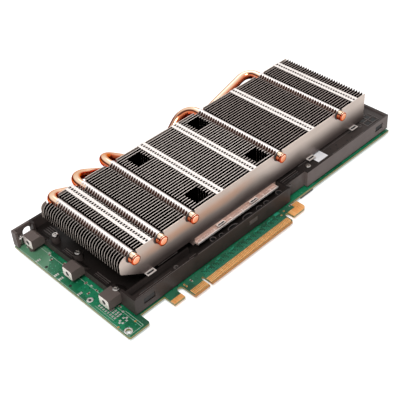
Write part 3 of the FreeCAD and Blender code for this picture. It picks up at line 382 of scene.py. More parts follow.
# --------------------------------------------------------------- finishes
class Paint(Wiring):
    """Wires the nodes of one material."""

    def __init__(self, name: str, origin: Vector) -> None:
        """Starts a material with an empty surface.

        Args:
            name: Name of the material.
            origin: The board's datum, from which places are measured.
        """
        self.material = bpy.data.materials.new(name)
        self.material.use_nodes = True
        super().__init__(self.material.node_tree)
        self.origin = origin
        self.shader = self.group.nodes["Principled BSDF"]
        self.place = self.add("TexCoord").outputs["Object"]

    def both(self, a: Any, b: Any) -> Socket:
        """One share of another."""
        return self.math("MULTIPLY", a, b)

    def above(self, value: Any, limit: float) -> Socket:
        """Whether a value is above a limit."""
        return self.math("GREATER_THAN", value, limit)

    def below(self, value: Any, limit: float) -> Socket:
        """Whether a value is below a limit."""
        return self.math("LESS_THAN", value, limit)

    def mix(self, factor: Any, a: Any, b: Any) -> Socket:
        """A colour between two others."""
        node = self.add("Mix", {"data_type": "RGBA"}, _0=factor)
        for index, value in ((6, a), (7, b)):
            self.wire((*value, 1.0) if isinstance(value, tuple) else value, node, index)
        return node.outputs[2]

    def coats(self, body: Any, *coats: tuple[Any, Any]) -> Any:
        """A colour under others, each laid on by its own share."""
        for share, colour in coats:
            body = self.mix(share, body, colour)
        return body

    def spread(self, value: Any, low: float, high: float, start: float = 0.0, end: float = 1.0) -> Socket:
        """A value moved from start-end to low-high."""
        return self.add("MapRange", Value=value, From_Min=start, From_Max=end, To_Min=low, To_Max=high).outputs[0]

    def noise(self, scale: float, stretch: Triple = (1, 1, 1), detail: float = 4.0) -> Socket:
        """Noise on the object's coordinates, with its grain stretched."""
        mapped = self.add("Mapping", Vector=self.place, Scale=stretch).outputs[0]
        return self.add("TexNoise", Vector=mapped, Scale=scale, Detail=detail).outputs["Fac"]

    def axis(self, letter: str) -> Socket:
        """One coordinate on the board's datum, in millimetres."""
        along = self.add("SeparateXYZ", Vector=self.place).outputs[letter]
        return self.math("DIVIDE", self.math("SUBTRACT", along, self.origin["XYZ".index(letter)]), MM)

    def facing(self, letter: str, kind: str = "True Normal") -> Socket:
        """One part of the direction that the surface faces, flat by flat or smoothed."""
        return self.add("SeparateXYZ", Vector=self.add("NewGeometry").outputs[kind]).outputs[letter]

    def ramp(self, value: Any, *stops: tuple[float, Colour]) -> Socket:
        """A colour that changes along a value.

        Args:
            value: What it changes along.
            *stops: Values in rising order, with the colour at each.

        Returns:
            The colour.
        """
        start, end = stops[0][0], stops[-1][0]
        node = self.add("ValToRGB", Fac=self.spread(value, 0.0, 1.0, start, end))
        band = node.color_ramp
        while len(band.elements) < len(stops):
            band.elements.new(1.0)
        for element, (place, colour) in zip(band.elements, stops):
            element.position, element.color = (place - start) / (end - start), (*colour, 1.0)
        return node.outputs["Color"]

    def fade(self, value: Any, *stops: Pair) -> Socket:
        """A share that changes along a value, as a ramp's colour does."""
        return self.ramp(value, *((place, (share,) * 3) for place, share in stops))


@dataclass(frozen=True)
class Finish:
    """A plain finish: two close colours, a gloss that wanders, and a fine grain."""

    name: str
    colour: Colour
    shade: Colour
    metallic: float = 0.0
    roughness: float = 0.5
    wander: float = 0.08
    scale: float = 300.0
    stretch: Triple = (1, 1, 1)
    grain: float = 2500.0
    depth: float = 0.1
    height: float = 0.00002
    specular: float = 0.5
    edge_tint: Colour = (1.0, 1.0, 1.0)

    def tint(self, paint: Paint, colour: Any) -> Any:
        """Changes the colour by place. A plain finish leaves it."""
        return colour

    def build(self, origin: Vector) -> bpy.types.Material:
        """Makes the material."""
        paint = Paint(self.name, origin)
        cloud = paint.noise(self.scale, self.stretch)
        colour = paint.mix(paint.spread(cloud, 0.0, 1.0, 0.35, 0.65), self.shade, self.colour)
        gloss = paint.spread(cloud, self.roughness - self.wander, self.roughness + self.wander, 0.3, 0.7)
        bump = paint.add("Bump", Strength=self.depth, Distance=self.height,
                         Height=paint.noise(self.grain, self.stretch, 2.0))
        for key, value in (("Base Color", self.tint(paint, colour)), ("Roughness", gloss),
                           ("Metallic", self.metallic), ("Specular IOR Level", self.specular),
                           ("Specular Tint", (*self.edge_tint, 1.0)), ("Normal", bump.outputs[0])):
            paint.wire(value, paint.shader, key)
        return paint.material


@dataclass(frozen=True)
class SolderMask(Finish):
    """Green mask over copper, with the bare laminate showing at the cut edges."""

    laminate: Colour = (0.24, 0.20, 0.045)
    contact_cut: Colour = (0.42, 0.17, 0.035)
    plane: Colour = (0.009, 0.19, 0.085)
    via: Colour = (0.06, 0.34, 0.20)
    clear: Colour = (0.002, 0.030, 0.015)
    pale: Colour = (0.12, 0.27, 0.16)
    strip: Colour = (0.040, 0.060, 0.050)
    faces: Pair = (0.06, 1.51)
    foot_end: float = 12.0
    pale_start: float = 78.0
    strip_end: float = 13.0
    contact_end: float = 2.7

    def tint(self, paint: Paint, colour: Any) -> Any:
        """Adds copper planes, dots, the pale corner, the strip by the contacts and the cut edges."""
        x, y, z = (paint.axis(letter) for letter in "XYZ")
        planes = paint.add("TexVoronoi", {"distance": "CHEBYCHEV"}, Vector=paint.place, Scale=70.0, Randomness=0.8)
        share = paint.add("SeparateColor", Color=planes.outputs["Color"]).outputs[0]
        body = paint.mix(paint.above(share, 0.56), colour, self.plane)
        for scale, size, dot in ((420.0, 0.16, self.via), (640.0, 0.2, self.clear)):
            cells = paint.add("TexVoronoi", Vector=paint.place, Scale=scale, Randomness=0.85)
            body = paint.mix(paint.below(cells.outputs["Distance"], size), body, dot)
        foot = paint.below(x, self.foot_end)
        corner = paint.both(foot, paint.above(paint.math("SUBTRACT", y, x), self.pale_start))
        strip = paint.both(paint.below(y, self.strip_end), paint.above(x, self.foot_end))
        cut = paint.mix(paint.below(y, self.contact_end), self.laminate, self.contact_cut)
        inside = paint.both(paint.above(z, self.faces[0]), paint.below(z, self.faces[1]))
        return paint.coats(body, (paint.both(corner, 0.8), self.pale), (paint.both(strip, 0.45), self.strip),
                           (inside, cut))


@dataclass(frozen=True)
class Casting(Finish):
    """Dark painted casting, paler on the arms, a little near the bracket end and most towards the far end, with painted
    shade on what faces up, darkest low on its floors.
    """

    arms: Colour = (0.115, 0.090, 0.082)
    far: Colour = (0.150, 0.120, 0.113)
    shelf: Colour = (0.025, 0.019, 0.0175)
    mid_shelf: Colour = (0.012, 0.0095, 0.0088)
    far_shelf: Colour = (0.052, 0.041, 0.038)
    deep: Colour = (0.012, 0.0095, 0.0085)
    arms_end: float = 12.4

    def tint(self, paint: Paint, colour: Any) -> Any:
        """Changes the tone along the card, and paints shade on what faces up, darkest low down."""
        x = paint.axis("X")
        along = paint.fade(x, (29.7, 0.18), (54.5, 0), (138.7, 0), (163.4, 1))
        # Painted shade on what faces up, past the arms, and darker still low down.
        shelf = paint.ramp(x, (24.8, self.shelf), (61.9, self.mid_shelf), (153.5, self.mid_shelf),
                           (198.1, self.far_shelf))
        low = paint.fade(paint.axis("Z"), (10.925, 1), (12.9, 0))
        level = paint.both(paint.above(paint.facing("Z"), 0.5), paint.above(x, self.arms_end))
        return paint.coats(colour, (along, self.far), (level, paint.mix(low, shelf, self.deep)),
                           (paint.below(x, self.arms_end), self.arms))


@dataclass(frozen=True)
class DrawnCopper(Finish):
    """Drawn copper with a painted highlight on top, painted shade underneath and painted shade in brown between the
    fins.
    """

    # The colours below are painted light: a highlight on top, shade underneath and on the tip's rim, shade inside the
    # fins, and a dark reflection line.
    pale: Colour = (0.96, 0.72, 0.52)
    red: Colour = (0.44, 0.055, 0.018)
    brown: Colour = (0.040, 0.016, 0.011)
    painted_dark_line: Colour = (0.11, 0.030, 0.016)
    stack: Pair = (24.1, 92.6)
    early: float = 6.0
    early_x: float = 55.0

    def tint(self, paint: Paint, colour: Any) -> Any:
        """Adds the painted highlight on top, painted shade underneath and on the tip's rim, a painted dark reflection
        line along the side, and brown painted shade inside the fins.
        """
        y, level, out = paint.axis("Y"), paint.facing("Z", "Normal"), paint.facing("Y", "Normal")
        tip = paint.below(y, self.stack[0])
        up = paint.math("ADD", level, paint.both(tip, paint.both(out, -0.72)))
        line = paint.fade(level, (0.52, 0), (0.60, 1), (0.76, 1), (0.84, 0))
        side = paint.above(paint.math("SUBTRACT", out, paint.facing("X", "Normal")), 0.25)
        ahead = paint.facing("Y")
        bevel = paint.both(paint.above(ahead, -0.92), paint.below(ahead, -0.4))
        early = paint.both(paint.below(paint.axis("X"), self.early_x), self.early)
        inside = paint.both(paint.above(y, self.stack[0]), paint.below(paint.math("ADD", y, early), self.stack[1]))
        return paint.coats(self.red, (paint.fade(up, (0.05, 0), (0.4, 1)), colour),
                           (paint.fade(up, (0.66, 0), (0.92, 1)), self.pale), (paint.both(line, side), self.painted_dark_line),
                           (paint.both(bevel, tip), self.red), (inside, self.brown))


@dataclass(frozen=True)
class RolledCollar(Finish):
    """Burnished collar metal, with painted shade on both of its sides, darker than on its crest."""

    # Painted shade: one colour on the side towards the bracket end, one on the side away from it.
    root: Colour = (0.42, 0.33, 0.29)
    shaded_side: Colour = (0.20, 0.13, 0.11)

    def tint(self, paint: Paint, colour: Any) -> Any:
        """Adds painted shade on both sides."""
        across = paint.facing("X", "Normal")
        return paint.coats(colour, (paint.fade(across, (-0.7, 1), (-0.1, 0)), self.root),
                           (paint.fade(across, (0.4, 0), (0.7, 1)), self.shaded_side))


@dataclass(frozen=True)
class Sheared(Finish):
    """Thin sheet with bright sheared edges, and faces painted dark as the shade between the fins."""

    near: Colour = (0.44, 0.39, 0.36)
    edge: Colour = (0.52, 0.46, 0.43)
    far: Colour = (0.33, 0.28, 0.26)
    lower_edge: Colour = (0.15, 0.125, 0.12)
    foot: float = 19.0
    head: float = 31.0

    def tint(self, paint: Paint, colour: Any) -> Any:
        """Brightens every face that doesn't look along the card's width, less so lower down; the faces that look along
        the width keep a dark colour that paints the shade between the fins.
        """
        bright = paint.ramp(paint.axis("X"), (59.4, self.near), (69.3, self.edge), (136.2, self.edge),
                            (148.6, self.far))
        edge = paint.mix(paint.spread(paint.axis("Z"), 0.0, 1.0, self.foot, self.head), self.lower_edge, bright)
        return paint.mix(paint.below(paint.math("ABSOLUTE", paint.facing("Y")), 0.7), colour, edge)


@dataclass(frozen=True)
class EndFin(Finish):
    """Outer fin: pale at the top, with a painted reflection of the copper below the pipes and a dark painted reflection
    of the plate towards its foot.
    """

    # Painted reflections: the copper's band, the dark foot and the flange on the skirt.
    warm: Colour = (0.60, 0.34, 0.22)
    dull: Colour = (0.13, 0.10, 0.092)
    mirrored: Colour = (0.78, 0.57, 0.49)
    foot: float = 14.7
    head: float = 35.6
    skirt: float = 14.5

    def tint(self, paint: Paint, colour: Any) -> Any:
        """Adds the dark painted reflection at the foot, an orange painted reflection of the copper in a band, and a
        painted reflection of the flange on the skirt.
        """
        height = paint.axis("Z")
        wave = paint.spread(paint.noise(30.0, (1, 1, 1), 1.0), -0.10, 0.10)
        rise = paint.math("ADD", paint.spread(height, 0.0, 1.0, self.foot, self.head), wave)
        glow = paint.fade(rise, (0.42, 0), (0.58, 1), (0.70, 1), (0.86, 0))
        along = paint.fade(paint.axis("X"), (22, 0), (42.6, 0.7), (104.4, 0.6), (125, 0))
        return paint.coats(self.dull, (paint.fade(rise, (0.12, 0), (0.76, 1)), colour),
                           (paint.both(glow, along), self.warm), (paint.below(height, self.skirt), self.mirrored))


@dataclass(frozen=True)
class Plating(Finish):
    """Gold plating whose colour wanders from line to line across the card."""

    other: Colour = (0.88, 0.33, 0.07)
    middle: float = 123.825

    def tint(self, paint: Paint, colour: Any) -> Any:
        """Gives every millimetre, and so every contact, its own share of the redder colour."""
        line = paint.math("FLOOR", paint.math("SUBTRACT", paint.axis("X"), self.middle))
        share = paint.add("TexWhiteNoise", {"noise_dimensions": "1D"}, W=line).outputs["Value"]
        return paint.mix(paint.spread(share, 0.0, 0.6), colour, self.other)


RECIPES = (
    SolderMask("green_mask", (0.006, 0.150, 0.062), (0.004, 0.105, 0.045), roughness=0.34, scale=60.0),
    Finish("mask_trace", (0.030, 0.30, 0.18), (0.020, 0.23, 0.12), roughness=0.3),
    Finish("pale_line", (0.45, 0.55, 0.46), (0.34, 0.45, 0.36), roughness=0.4),
    Finish("mask_dark", (0.003, 0.055, 0.028), (0.002, 0.040, 0.020), roughness=0.34),
    Plating("gold_contacts", (1.0, 0.52, 0.20), (0.96, 0.44, 0.14), 0.4, 0.34),
    Casting("cast_plate", (0.038, 0.029, 0.026), (0.029, 0.022, 0.020), 0.0, 0.42, scale=120.0, grain=3000.0,
            depth=0.25, specular=0.12),
    # Pale rims: a painted highlight on the pockets' edges.
    Finish("pocket_rim", (0.16, 0.14, 0.135), (0.12, 0.10, 0.095), 0.2, 0.3),
    # Paler than the casting: a painted highlight on raised ridges, ribs and bosses; the wall's panel takes it too.
    Finish("cast_ridge", (0.095, 0.078, 0.073), (0.07, 0.058, 0.054), 0.0, 0.36, scale=200.0, grain=3000.0,
           specular=0.3),
    Finish("bore_shadow", (0.006, 0.005, 0.005), (0.004, 0.004, 0.004), 0.0, 0.7),
    # The fins' faces are near black: painted shade in the gaps between the fins.
    Sheared("fin_aluminium", (0.014, 0.010, 0.009), (0.010, 0.008, 0.007), 1.0, 0.38, stretch=(1, 8, 8),
            edge_tint=(0.3, 0.25, 0.22)),
    EndFin("end_fin", (0.62, 0.52, 0.46), (0.57, 0.475, 0.42), 0.55, 0.34, 0.03, scale=60.0, grain=700.0,
           depth=0.004),
    Finish("bright_fold", (0.88, 0.81, 0.77), (0.76, 0.69, 0.65), 0.35, 0.34, scale=700.0),
    RolledCollar("collar_metal", (0.86, 0.79, 0.76), (0.86, 0.79, 0.76), 0.6, 0.26, scale=700.0),
    Finish("groove_shade", (0.16, 0.14, 0.13), (0.11, 0.095, 0.09), 1.0, 0.38),
    Finish("flare_shade", (0.07, 0.062, 0.058), (0.05, 0.045, 0.042), 0.8, 0.4),
    Finish("flange_metal", (0.80, 0.60, 0.52), (0.62, 0.45, 0.39), 0.15, 0.34, 0.05, stretch=(1, 14, 1),
           scale=90.0),
    DrawnCopper("bright_copper", (0.72, 0.23, 0.105), (0.62, 0.16, 0.07), 1.0, 0.17, 0.04, scale=90.0,
                edge_tint=(0.55, 0.25, 0.15)),
    Finish("bright_steel", (0.50, 0.47, 0.45), (0.38, 0.36, 0.34), 1.0, 0.28),
    Finish("nickel", (0.62, 0.60, 0.56), (0.55, 0.53, 0.50), 1.0, 0.22),
    Finish("brace_steel", (0.05, 0.05, 0.05), (0.035, 0.035, 0.035), 0.6, 0.45),
    Finish("chip_black", (0.02, 0.02, 0.021), (0.014, 0.014, 0.015), 0.0, 0.5, grain=4000.0, depth=0.2),
    Finish("ferrite_grey", (0.13, 0.13, 0.135), (0.09, 0.09, 0.095), 0.0, 0.6, grain=1800.0, depth=0.3),
    Finish("thermal_pad", (0.42, 0.44, 0.46), (0.36, 0.38, 0.40), 0.0, 0.8, grain=900.0, depth=0.4),
    Finish("nylon_black", (0.022, 0.021, 0.021), (0.016, 0.015, 0.015), 0.0, 0.38, grain=1500.0, depth=0.15),
    Finish("can_aluminium", (0.68, 0.67, 0.68), (0.60, 0.59, 0.60), 1.0, 0.3),
    Finish("label_paper", (0.90, 0.89, 0.92), (0.82, 0.81, 0.84), 0.0, 0.5, scale=150.0),
    Finish("bare_milled", (0.84, 0.77, 0.72), (0.76, 0.69, 0.64), 0.5, 0.3, scale=500.0),
    Finish("tin", (0.86, 0.82, 0.78), (0.74, 0.70, 0.66), 0.6, 0.3, scale=900.0),
    Finish("part_brown", (0.20, 0.075, 0.045), (0.13, 0.045, 0.03), 0.0, 0.45),
    Finish("substrate", (0.03, 0.12, 0.06), (0.02, 0.09, 0.045), 0.0, 0.4),
)

FINISHED_NODES = {
    "green_mask": ("board",),
    "gold_contacts": ("front_contacts", "rear_contacts", "retention_plating"),
    "cast_plate": ("base_plate",),
    "bright_steel": ("plate_screws", "board_screws", "spring_screws", "screw_springs"),
    "flange_metal": ("heatsink_base",),
    "bright_copper": ("contact_plate", "heat_pipes"),
    "end_fin": ("near_fin", "far_fin"),
    "fin_aluminium": ("fin_stack",),
    "bright_fold": ("fin_tabs", "fin_clips"),
    "collar_metal": ("pipe_collars",),
    "brace_steel": ("rear_brace",),
    "substrate": ("processor_package",),
    "nickel": ("heat_spreader",),
    "chip_black": ("front_memory", "rear_memory", "transistors", "rear_chip"),
    "thermal_pad": ("memory_pads", "transistor_pad"),
    "ferrite_grey": ("inductors",),
    "can_aluminium": ("capacitors",),
    "nylon_black": ("power_socket_8", "power_socket_6"),
    "tin": ("power_pins",),
    "label_paper": ("label",),
}


# ----------------------------------------------------------------- pieces
PIPES = (22.4, 42.5, 66.7, 142.3, 202.4)
PIPE_LEVEL = 33.2
FIRST_FIN = 23.9
LEDGE = 13.0


@dataclass
class HeatPipes:
    """Five copper pipes: over the fins, round a loop, down and into the base block."""

    landings: Row = (75.05, 91.05, 102.05, 112.05, 122.05)
    bend_starts: Row = (91.69, 93.49, 97.19, 96.19, 97.69)
    bends: Row = (8.5, 13.0, 12.0, 11.0, 8.0)
    radius: float = 3.1
    tip_y: float = 19.4
    low_z: float = 10.9
    landing_y: float = 103.19
    landing_bend: float = 9.0
    end_y: float = 30.0
    flats: int = 32
    bend_steps: int = 14
    tip_rings: tuple[Pair, ...] = (
        (0.0, 0.60), (0.05, 0.78), (0.45, 1.0), (0.9, 1.0), (1.0, 0.74), (1.4, 0.74), (1.55, 0.97), (1.8, 1.0))

    def route(self, x: float, land: float, start: float, bend: float) -> list[tuple[Triple, float, float]]:
        """Corners of one pipe's centre line.

        Args:
            x: Where the pipe lies over the fins.
            land: Where it lies in the base block.
            start: How far along y its loop starts.
            bend: Radius of the loop.

        Returns:
            Each corner, its bend radius, and the share of the full girth there.
        """
        down = Vector((land - x, self.landing_y - start - bend, self.low_z - PIPE_LEVEL))
        corner = start + bend * math.tan(Vector((0, 1, 0)).angle(down) / 2)
        tip = [((x, self.tip_y + along, PIPE_LEVEL), 0.0, girth) for along, girth in self.tip_rings]
        return tip + [((x, corner, PIPE_LEVEL), bend, 1.0),
                      ((land, self.landing_y, self.low_z), self.landing_bend, 1.0),
                      ((land, self.end_y, self.low_z), 0.0, 1.0)]

    def make(self, shop: Shop) -> None:
        """Sweeps the pipes along their routes."""
        corners: list[tuple[Triple, float, float]] = []
        runs: list[int] = []
        for plan in zip(PIPES, self.landings, self.bend_starts, self.bends):
            route = self.route(*plan)
            for i in range(len(corners), len(corners) + len(route) - 1):
                runs += [i, i + 1]
            corners += route
        mesh = points_mesh("copper_pipes", [shop.datum.point(*place) for place, _, _ in corners],
                           bend=[bend * MM for _, bend, _ in corners], girth=[girth for _, _, girth in corners])
        mesh.edges.add(len(runs) // 2)
        mesh.edges.foreach_set("vertices", runs)
        piece = new_object("copper_pipes", mesh)
        tree = Tree("pipe sweep")
        lines = tree.add("MeshToCurve", Mesh=tree.entry.outputs[0])
        bent = tree.add("FilletCurve", {"mode": "POLY"}, Curve=lines.outputs[0], Limit_Radius=False,
                        Radius=tree.attribute("bend", "FLOAT"), Count=tree.size("Bend steps", self.bend_steps, "Int"))
        tube = tree.tube(bent.outputs[0], tree.size("Pipe radius", self.radius * MM),
                         tree.size("Flats", self.flats, "Int"), Scale=tree.attribute("girth", "FLOAT"))
        tree.apply(piece, tube, shop.materials["bright_copper"])
        smooth(piece.data)
        shop.file(piece, Slot.COPPER, "heat_pipes")


@dataclass
class FinFolds:
    """What the fins carry: folded tabs, pipe collars, and the outer fin's flares and clips."""

    fins: int = 34
    pitch: float = 2.13
    last_y: float = 94.59
    bands: Row = (31.8, 88.5, 117.2, 172.0, 217.2)
    band_width: float = 5.7
    top: float = 36.0
    sheet: float = 0.4
    rounding: float = 0.16
    tab_gap: float = 0.12
    window: Pair = (1.9, 1.4)
    window_start: float = 0.4
    collar: Pair = (3.2, 3.5)
    collar_flats: int = 16
    collar_taper: float = 0.06
    shortest: float = 0.4
    cut: Pair = (0.64, 0.12)
    loops_out: Row = (2.9, 1.1, 0.0, 0.0, 0.0)
    clip: Pair = (6.3, 2.3)
    clip_frame: float = 0.62
    clip_offset: float = 1.9
    clip_lengths: Row = (1.4, 1.0, 1.0, 1.4, 1.4)
    clip_levels: Row = (14.72, 12.9, 12.9, 14.72, 14.72)
    flare: Pair = (3.25, 4.0)
    flare_length: float = 0.9
    flare_squash: float = 0.88

    def tabs(self, shop: Shop) -> None:
        """Folds a tab with a square window over every gap of every band."""
        half, side, end = self.band_width / 2, self.window[0] / 2, self.pitch - self.tab_gap
        low, soft = -self.sheet, self.rounding
        form = Sketch()
        for x in ((-half, -side), (side, half)):
            form.loft([[(a, 0, low), (a, 0, -soft), (a, soft, 0), (a, end - soft / 2, 0), (a, end, -soft / 2),
                        (a, end, low)] for a in x])
        for y in ((0.0, self.window_start), (self.window_start + self.window[1], end)):
            form.block((-side, side), y, (low, -soft / 4))
        gaps = self.fins - 1
        last = self.last_y - FIRST_FIN - gaps * self.pitch
        rows = [(x + half, FIRST_FIN + i * self.pitch, self.top) for x in self.bands for i in range(gaps)]
        rows += [(x + half, self.last_y - last, self.top, 1, last / end) for x in self.bands]
        shop.repeat("folded_tabs", form, rows, "bright_fold", Slot.FINS, "fin_tabs")

    def collars(self, shop: Shop) -> None:
        """Puts a collar over each pipe at every fin, cut away towards the bracket end."""
        inner, outer = self.collar
        thin, longest = outer - self.collar_taper, self.pitch - self.tab_gap / 2
        rings = []
        for i in range(self.collar_flats + 1):
            share = i / self.collar_flats
            left = min(1.0, max(0.0, (self.cut[0] - share) / self.cut[1]))
            reach = self.shortest + (longest - self.shortest) * left
            rings.append([(radius * math.cos(math.pi * share), y, radius * math.sin(math.pi * share))
                          for radius, y in ((inner, 0), (outer, 0), (thin, reach), (inner, reach))])
        rows = []
        for x, out in zip(PIPES, self.loops_out):
            count = int((self.last_y - out - FIRST_FIN) / self.pitch)
            rows += [(x, FIRST_FIN + i * self.pitch, PIPE_LEVEL) for i in range(count)]
        shop.repeat("fin_collars", Sketch().loft(rings), rows, "collar_metal", Slot.FINS, "pipe_collars")

    def flares(self, shop: Shop) -> None:
        """Turns the outer fin out round each pipe's tip, in a dark finish that paints the shade there."""
        (inner, outer), front = self.flare, -self.flare_length
        form = Sketch().lathe([(inner, 0), (outer, 0), (outer - 0.55, -0.25), (inner + 0.25, front), (inner, front)],
                              28, looped=True, level=True)
        rows = [(x, FIRST_FIN, PIPE_LEVEL, 1, 1, self.flare_squash) for x in PIPES]
        shop.repeat("pipe_flares", form, rows, "flare_shade", Slot.FINS)

    def clips(self, shop: Shop) -> None:
        """Frames the slotted clips at the bottom edge of the outer fin."""
        half, deep, edge = self.clip[0] / 2, self.clip[1], self.clip_frame
        inner, over = half - edge, 0.1
        form = Sketch()
        for x in ((-half, -inner), (inner, half)):
            form.block(x, (-deep, 0), (0, self.sheet))
        for y in ((-deep, edge - deep), (-edge, 0)):
            form.block((-inner, inner), y, (0, self.sheet))
        middle = self.band_width / 2 - self.clip_offset
        rows = [(x + middle, FIRST_FIN, z, 1, long)
                for x, z, long in zip(self.bands, self.clip_levels, self.clip_lengths)]
        shop.repeat("clip_frames", form, rows, "bright_fold", Slot.FINS, "fin_clips")
        # A dark block of painted shadow fills each clip's slot.
        dark = Sketch().block((-inner - over, inner + over), (edge - deep - over, over - edge), (0.02, 0.1))
        shop.repeat("clip_slots", dark, rows, "bore_shadow", Slot.FINS)

    def make(self, shop: Shop) -> None:
        """Makes them all."""
        for step in (self.tabs, self.collars, self.flares, self.clips):
            step(shop)


@dataclass
class FlangeTrim:
    """Rolled near edge, grooves and pressed ribs of the heat sink's flange."""

    span: Pair = (69.4, 139.2)
    edge_y: float = 21.5
    level: float = 11.7
    low: float = 10.5
    lip: float = 0.4
    bulge: float = 0.14
    rise: float = 0.07
    groove_ys: Row = (22.5, 22.95, 23.4)
    ribs: Row = (73.0, 84.0, 98.5, 108.0, 127.5, 134.0)

    def make(self, shop: Shop) -> None:
        """Makes the lip, the grooves and the ribs."""
        (start, end), y = self.span, self.edge_y
        front, back, top = y - self.bulge, y + self.lip, self.level + self.rise
        lip = Sketch().loft([[(x, y, self.low), (x, front, self.low + 0.1), (x, front, self.level - 0.05),
                              (x, y, top), (x, back, top), (x, back, self.low)] for x in (start - 0.5, end + 0.5)])
        shop.solid("flange_lip", lip, "bright_fold", Slot.FINS)
        # The grooves are thin dark strips of painted shade.
        line = Sketch().block((0, end - start), (-0.06, 0.06), (0, 0.04))
        grooves = [(start, groove, self.level) for groove in self.groove_ys]
        shop.repeat("flange_grooves", line, grooves, "groove_shade", Slot.FINS)
        rib = Sketch().loft([[(-0.3, b, 0), (-0.15, b, 0.12), (0.15, b, 0.12), (0.3, b, 0)]
                             for b in (self.lip + 0.1, 2.2)])
        shop.repeat("flange_ribs", rib, [(x, y, self.level) for x in self.ribs], "bright_fold", Slot.FINS)


@dataclass
class BoardMarks:
    """Pads, vias, traces, border lines and small parts on the face of the board."""

    face: float = 1.57
    lift: float = 0.035
    contacts: Pair = (60.0, 129.0)
    pitch: float = 1.0
    connector_xs: Row = (3.9, 6.0, 7.8)
    connector_start: float = 21.1
    connector_pitch: float = 1.95
    connector_rows: int = 8
    dash_ys: Row = (50.0, 67.7, 72.0, 90.0)
    dash_xs: Row = (0.9, 2.1, 3.3, 10.6)
    test_pad: Pair = (127.7, 12.6)
    rings: tuple[Row, ...] = ((2.9, 8.7, 1.62, 2.45), (3.1, 42.0, 0.9, 2.0))
    holes: tuple[Pair, ...] = ((2.3, 81.9), (2.3, 59.1))
    vias: tuple[Pair, ...] = (
        (47.0, 11.2), (47.0, 9.3), (10.0, 11.2), (0.9, 14.7), (36.7, 6.7), (129.0, 9.2), (133.0, 10.8))
    pins: tuple[Pair, ...] = (
        (3.4, 16.6), (4.6, 17.6), (4.5, 15.2), (7.2, 17.8), (8.5, 16.6), (7.1, 15.1), (10.0, 21.6))
    parts: tuple[Triple, ...] = (
        (8.4, 38.0, 0), (10.2, 44.6, 90), (5.6, 46.5, 0), (9.6, 54.0, 0), (6.3, 70.0, 90), (10.6, 76.0, 0),
        (7.6, 84.5, 0), (9.5, 88.5, 90), (5.2, 104.0, 0), (8.8, 106.5, 0),
        (51.8, 10.3, 90), (139.5, 11.2, 0), (11.2, 25.5, 90))
    part_half: float = 0.8
    strays: Row = (62.0, 71.5, 83.0, 96.5, 105.0, 117.0)

    def pads(self, shop: Shop) -> None:
        """Tinned pads of the connector, the dashes and the pin fields, and the small parts."""
        pad = Sketch().plate(((-0.5, -0.5), (0.5, -0.5), (0.5, 0.5), (-0.5, 0.5)), ((1.0, 0.0), (1.0, 0.6), (0.8, 1.0)))
        z = self.face
        rows = [(x, self.connector_start + i * self.connector_pitch, z, 1.5, 1.1, self.lift)
                for x in self.connector_xs for i in range(self.connector_rows)]
        rows += [(x, y, z, 0.85, 1.6, 0.3) for x in self.dash_xs for y in self.dash_ys]
        rows += [(x, y, z, 1.3, 1.2, 0.12) for x, y in self.pins]
        shop.repeat("tinned_pads", pad, rows, "tin", Slot.GOLD)
        shop.repeat("test_pad", pad, [(*self.test_pad, z, 4.4, 2.6, self.lift)], "mask_trace", Slot.BOARD)
        ends = []
        for x, y, turn in self.parts:
            angle = math.radians(turn)
            for out in (-self.part_half, self.part_half):
                ends.append((x + out * math.cos(angle), y + out * math.sin(angle), z, 0.5, 0.9, 0.55, turn))
        shop.repeat("part_ends", pad, ends, "tin", Slot.GOLD)
        bodies = [(x, y, z, 1.2, 0.85, 0.5, turn) for x, y, turn in self.parts]
        shop.repeat("part_bodies", pad, bodies, "part_brown", Slot.BOARD)

    def rounds(self, shop: Shop) -> None:
        """Annular pads, plated vias, and dark discs of painted shadow for the drilled holes."""
        for number, (x, y, bore, outer) in enumerate(self.rings, 1):
            profile = [(bore, 0), (outer, 0), (outer, self.lift), (outer - 0.15, self.lift * 2),
                       (bore + 0.1, self.lift * 2), (bore, self.lift)]
            ring = Sketch().lathe(profile, 32, (x, y, self.face), looped=True)
            shop.solid(f"ring_pad_{number}", ring, "tin", Slot.GOLD)
        via = Sketch().lathe([(0.28, 0), (0.62, 0), (0.58, 0.05), (0.3, 0.06)], 12, looped=True)
        shop.repeat("plated_vias", via, [(*place, self.face) for place in self.vias], "gold_contacts", Slot.GOLD)
        spot = Sketch().lathe([(1.0, 0), (1.0, 0.02), (0.9, 0.03)], 20)
        bores = [(place, 0.27) for place in self.vias] + [(place, 0.95) for place in self.holes]
        rows = [(*place, self.face, size, size) for place, size in bores + [(self.rings[1][:2], 0.88)]]
        shop.repeat("drilled_holes", spot, rows, "bore_shadow", Slot.BOARD)

    def traces(self, shop: Shop) -> None:
        """Traces that lead from the contacts to small vias, and the fine border lines."""
        line = Sketch().block((-0.14, 0.14), (0, 1), (0, self.lift))
        bead = Sketch().lathe([(0.38, 0), (0.38, 0.03), (0.3, 0.05)], 8)
        (start, end), z = self.contacts, self.face
        runs, beads = [], []
        for i in range(int((end - start) / self.pitch)):
            x, reach = start + i * self.pitch, 2.4 + 1.1 * ((i * 3) % 4)
            runs.append((x, 5.6, z, 1, reach))
            beads.append((x, 5.6 + reach, z))
            if i % 3:
                beads.append((x + 0.45, 9.6 + 0.55 * ((i * 5) % 3), z))
        for x in self.strays:
            runs += [(x, 10.6, z, 1.6, 6.0, 1, -82), (x + 1.0, 11.5, z, 1.6, 4.6, 1, -86)]
        shop.repeat("contact_traces", line, runs, "mask_trace", Slot.BOARD)
        shop.repeat("trace_vias", bead, beads, "mask_dark", Slot.BOARD)
        border = [(x, y, z, 0.9, long, 0.6, turn) for x, y, long, turn in (
            (0.6, 4.9, 104.5, 0), (11.2, 5.8, 15.0, 0), (9.8, 5.8, 103.0, 0), (0.6, 5.8, 10.6, -90),
            (2.2, 20.0, 16.5, 0))]
        shop.repeat("border_lines", line, border, "pale_line", Slot.BOARD)

    def make(self, shop: Shop) -> None:
        """Makes all the marks."""
        for step in (self.pads, self.rounds, self.traces):
            step(shop)


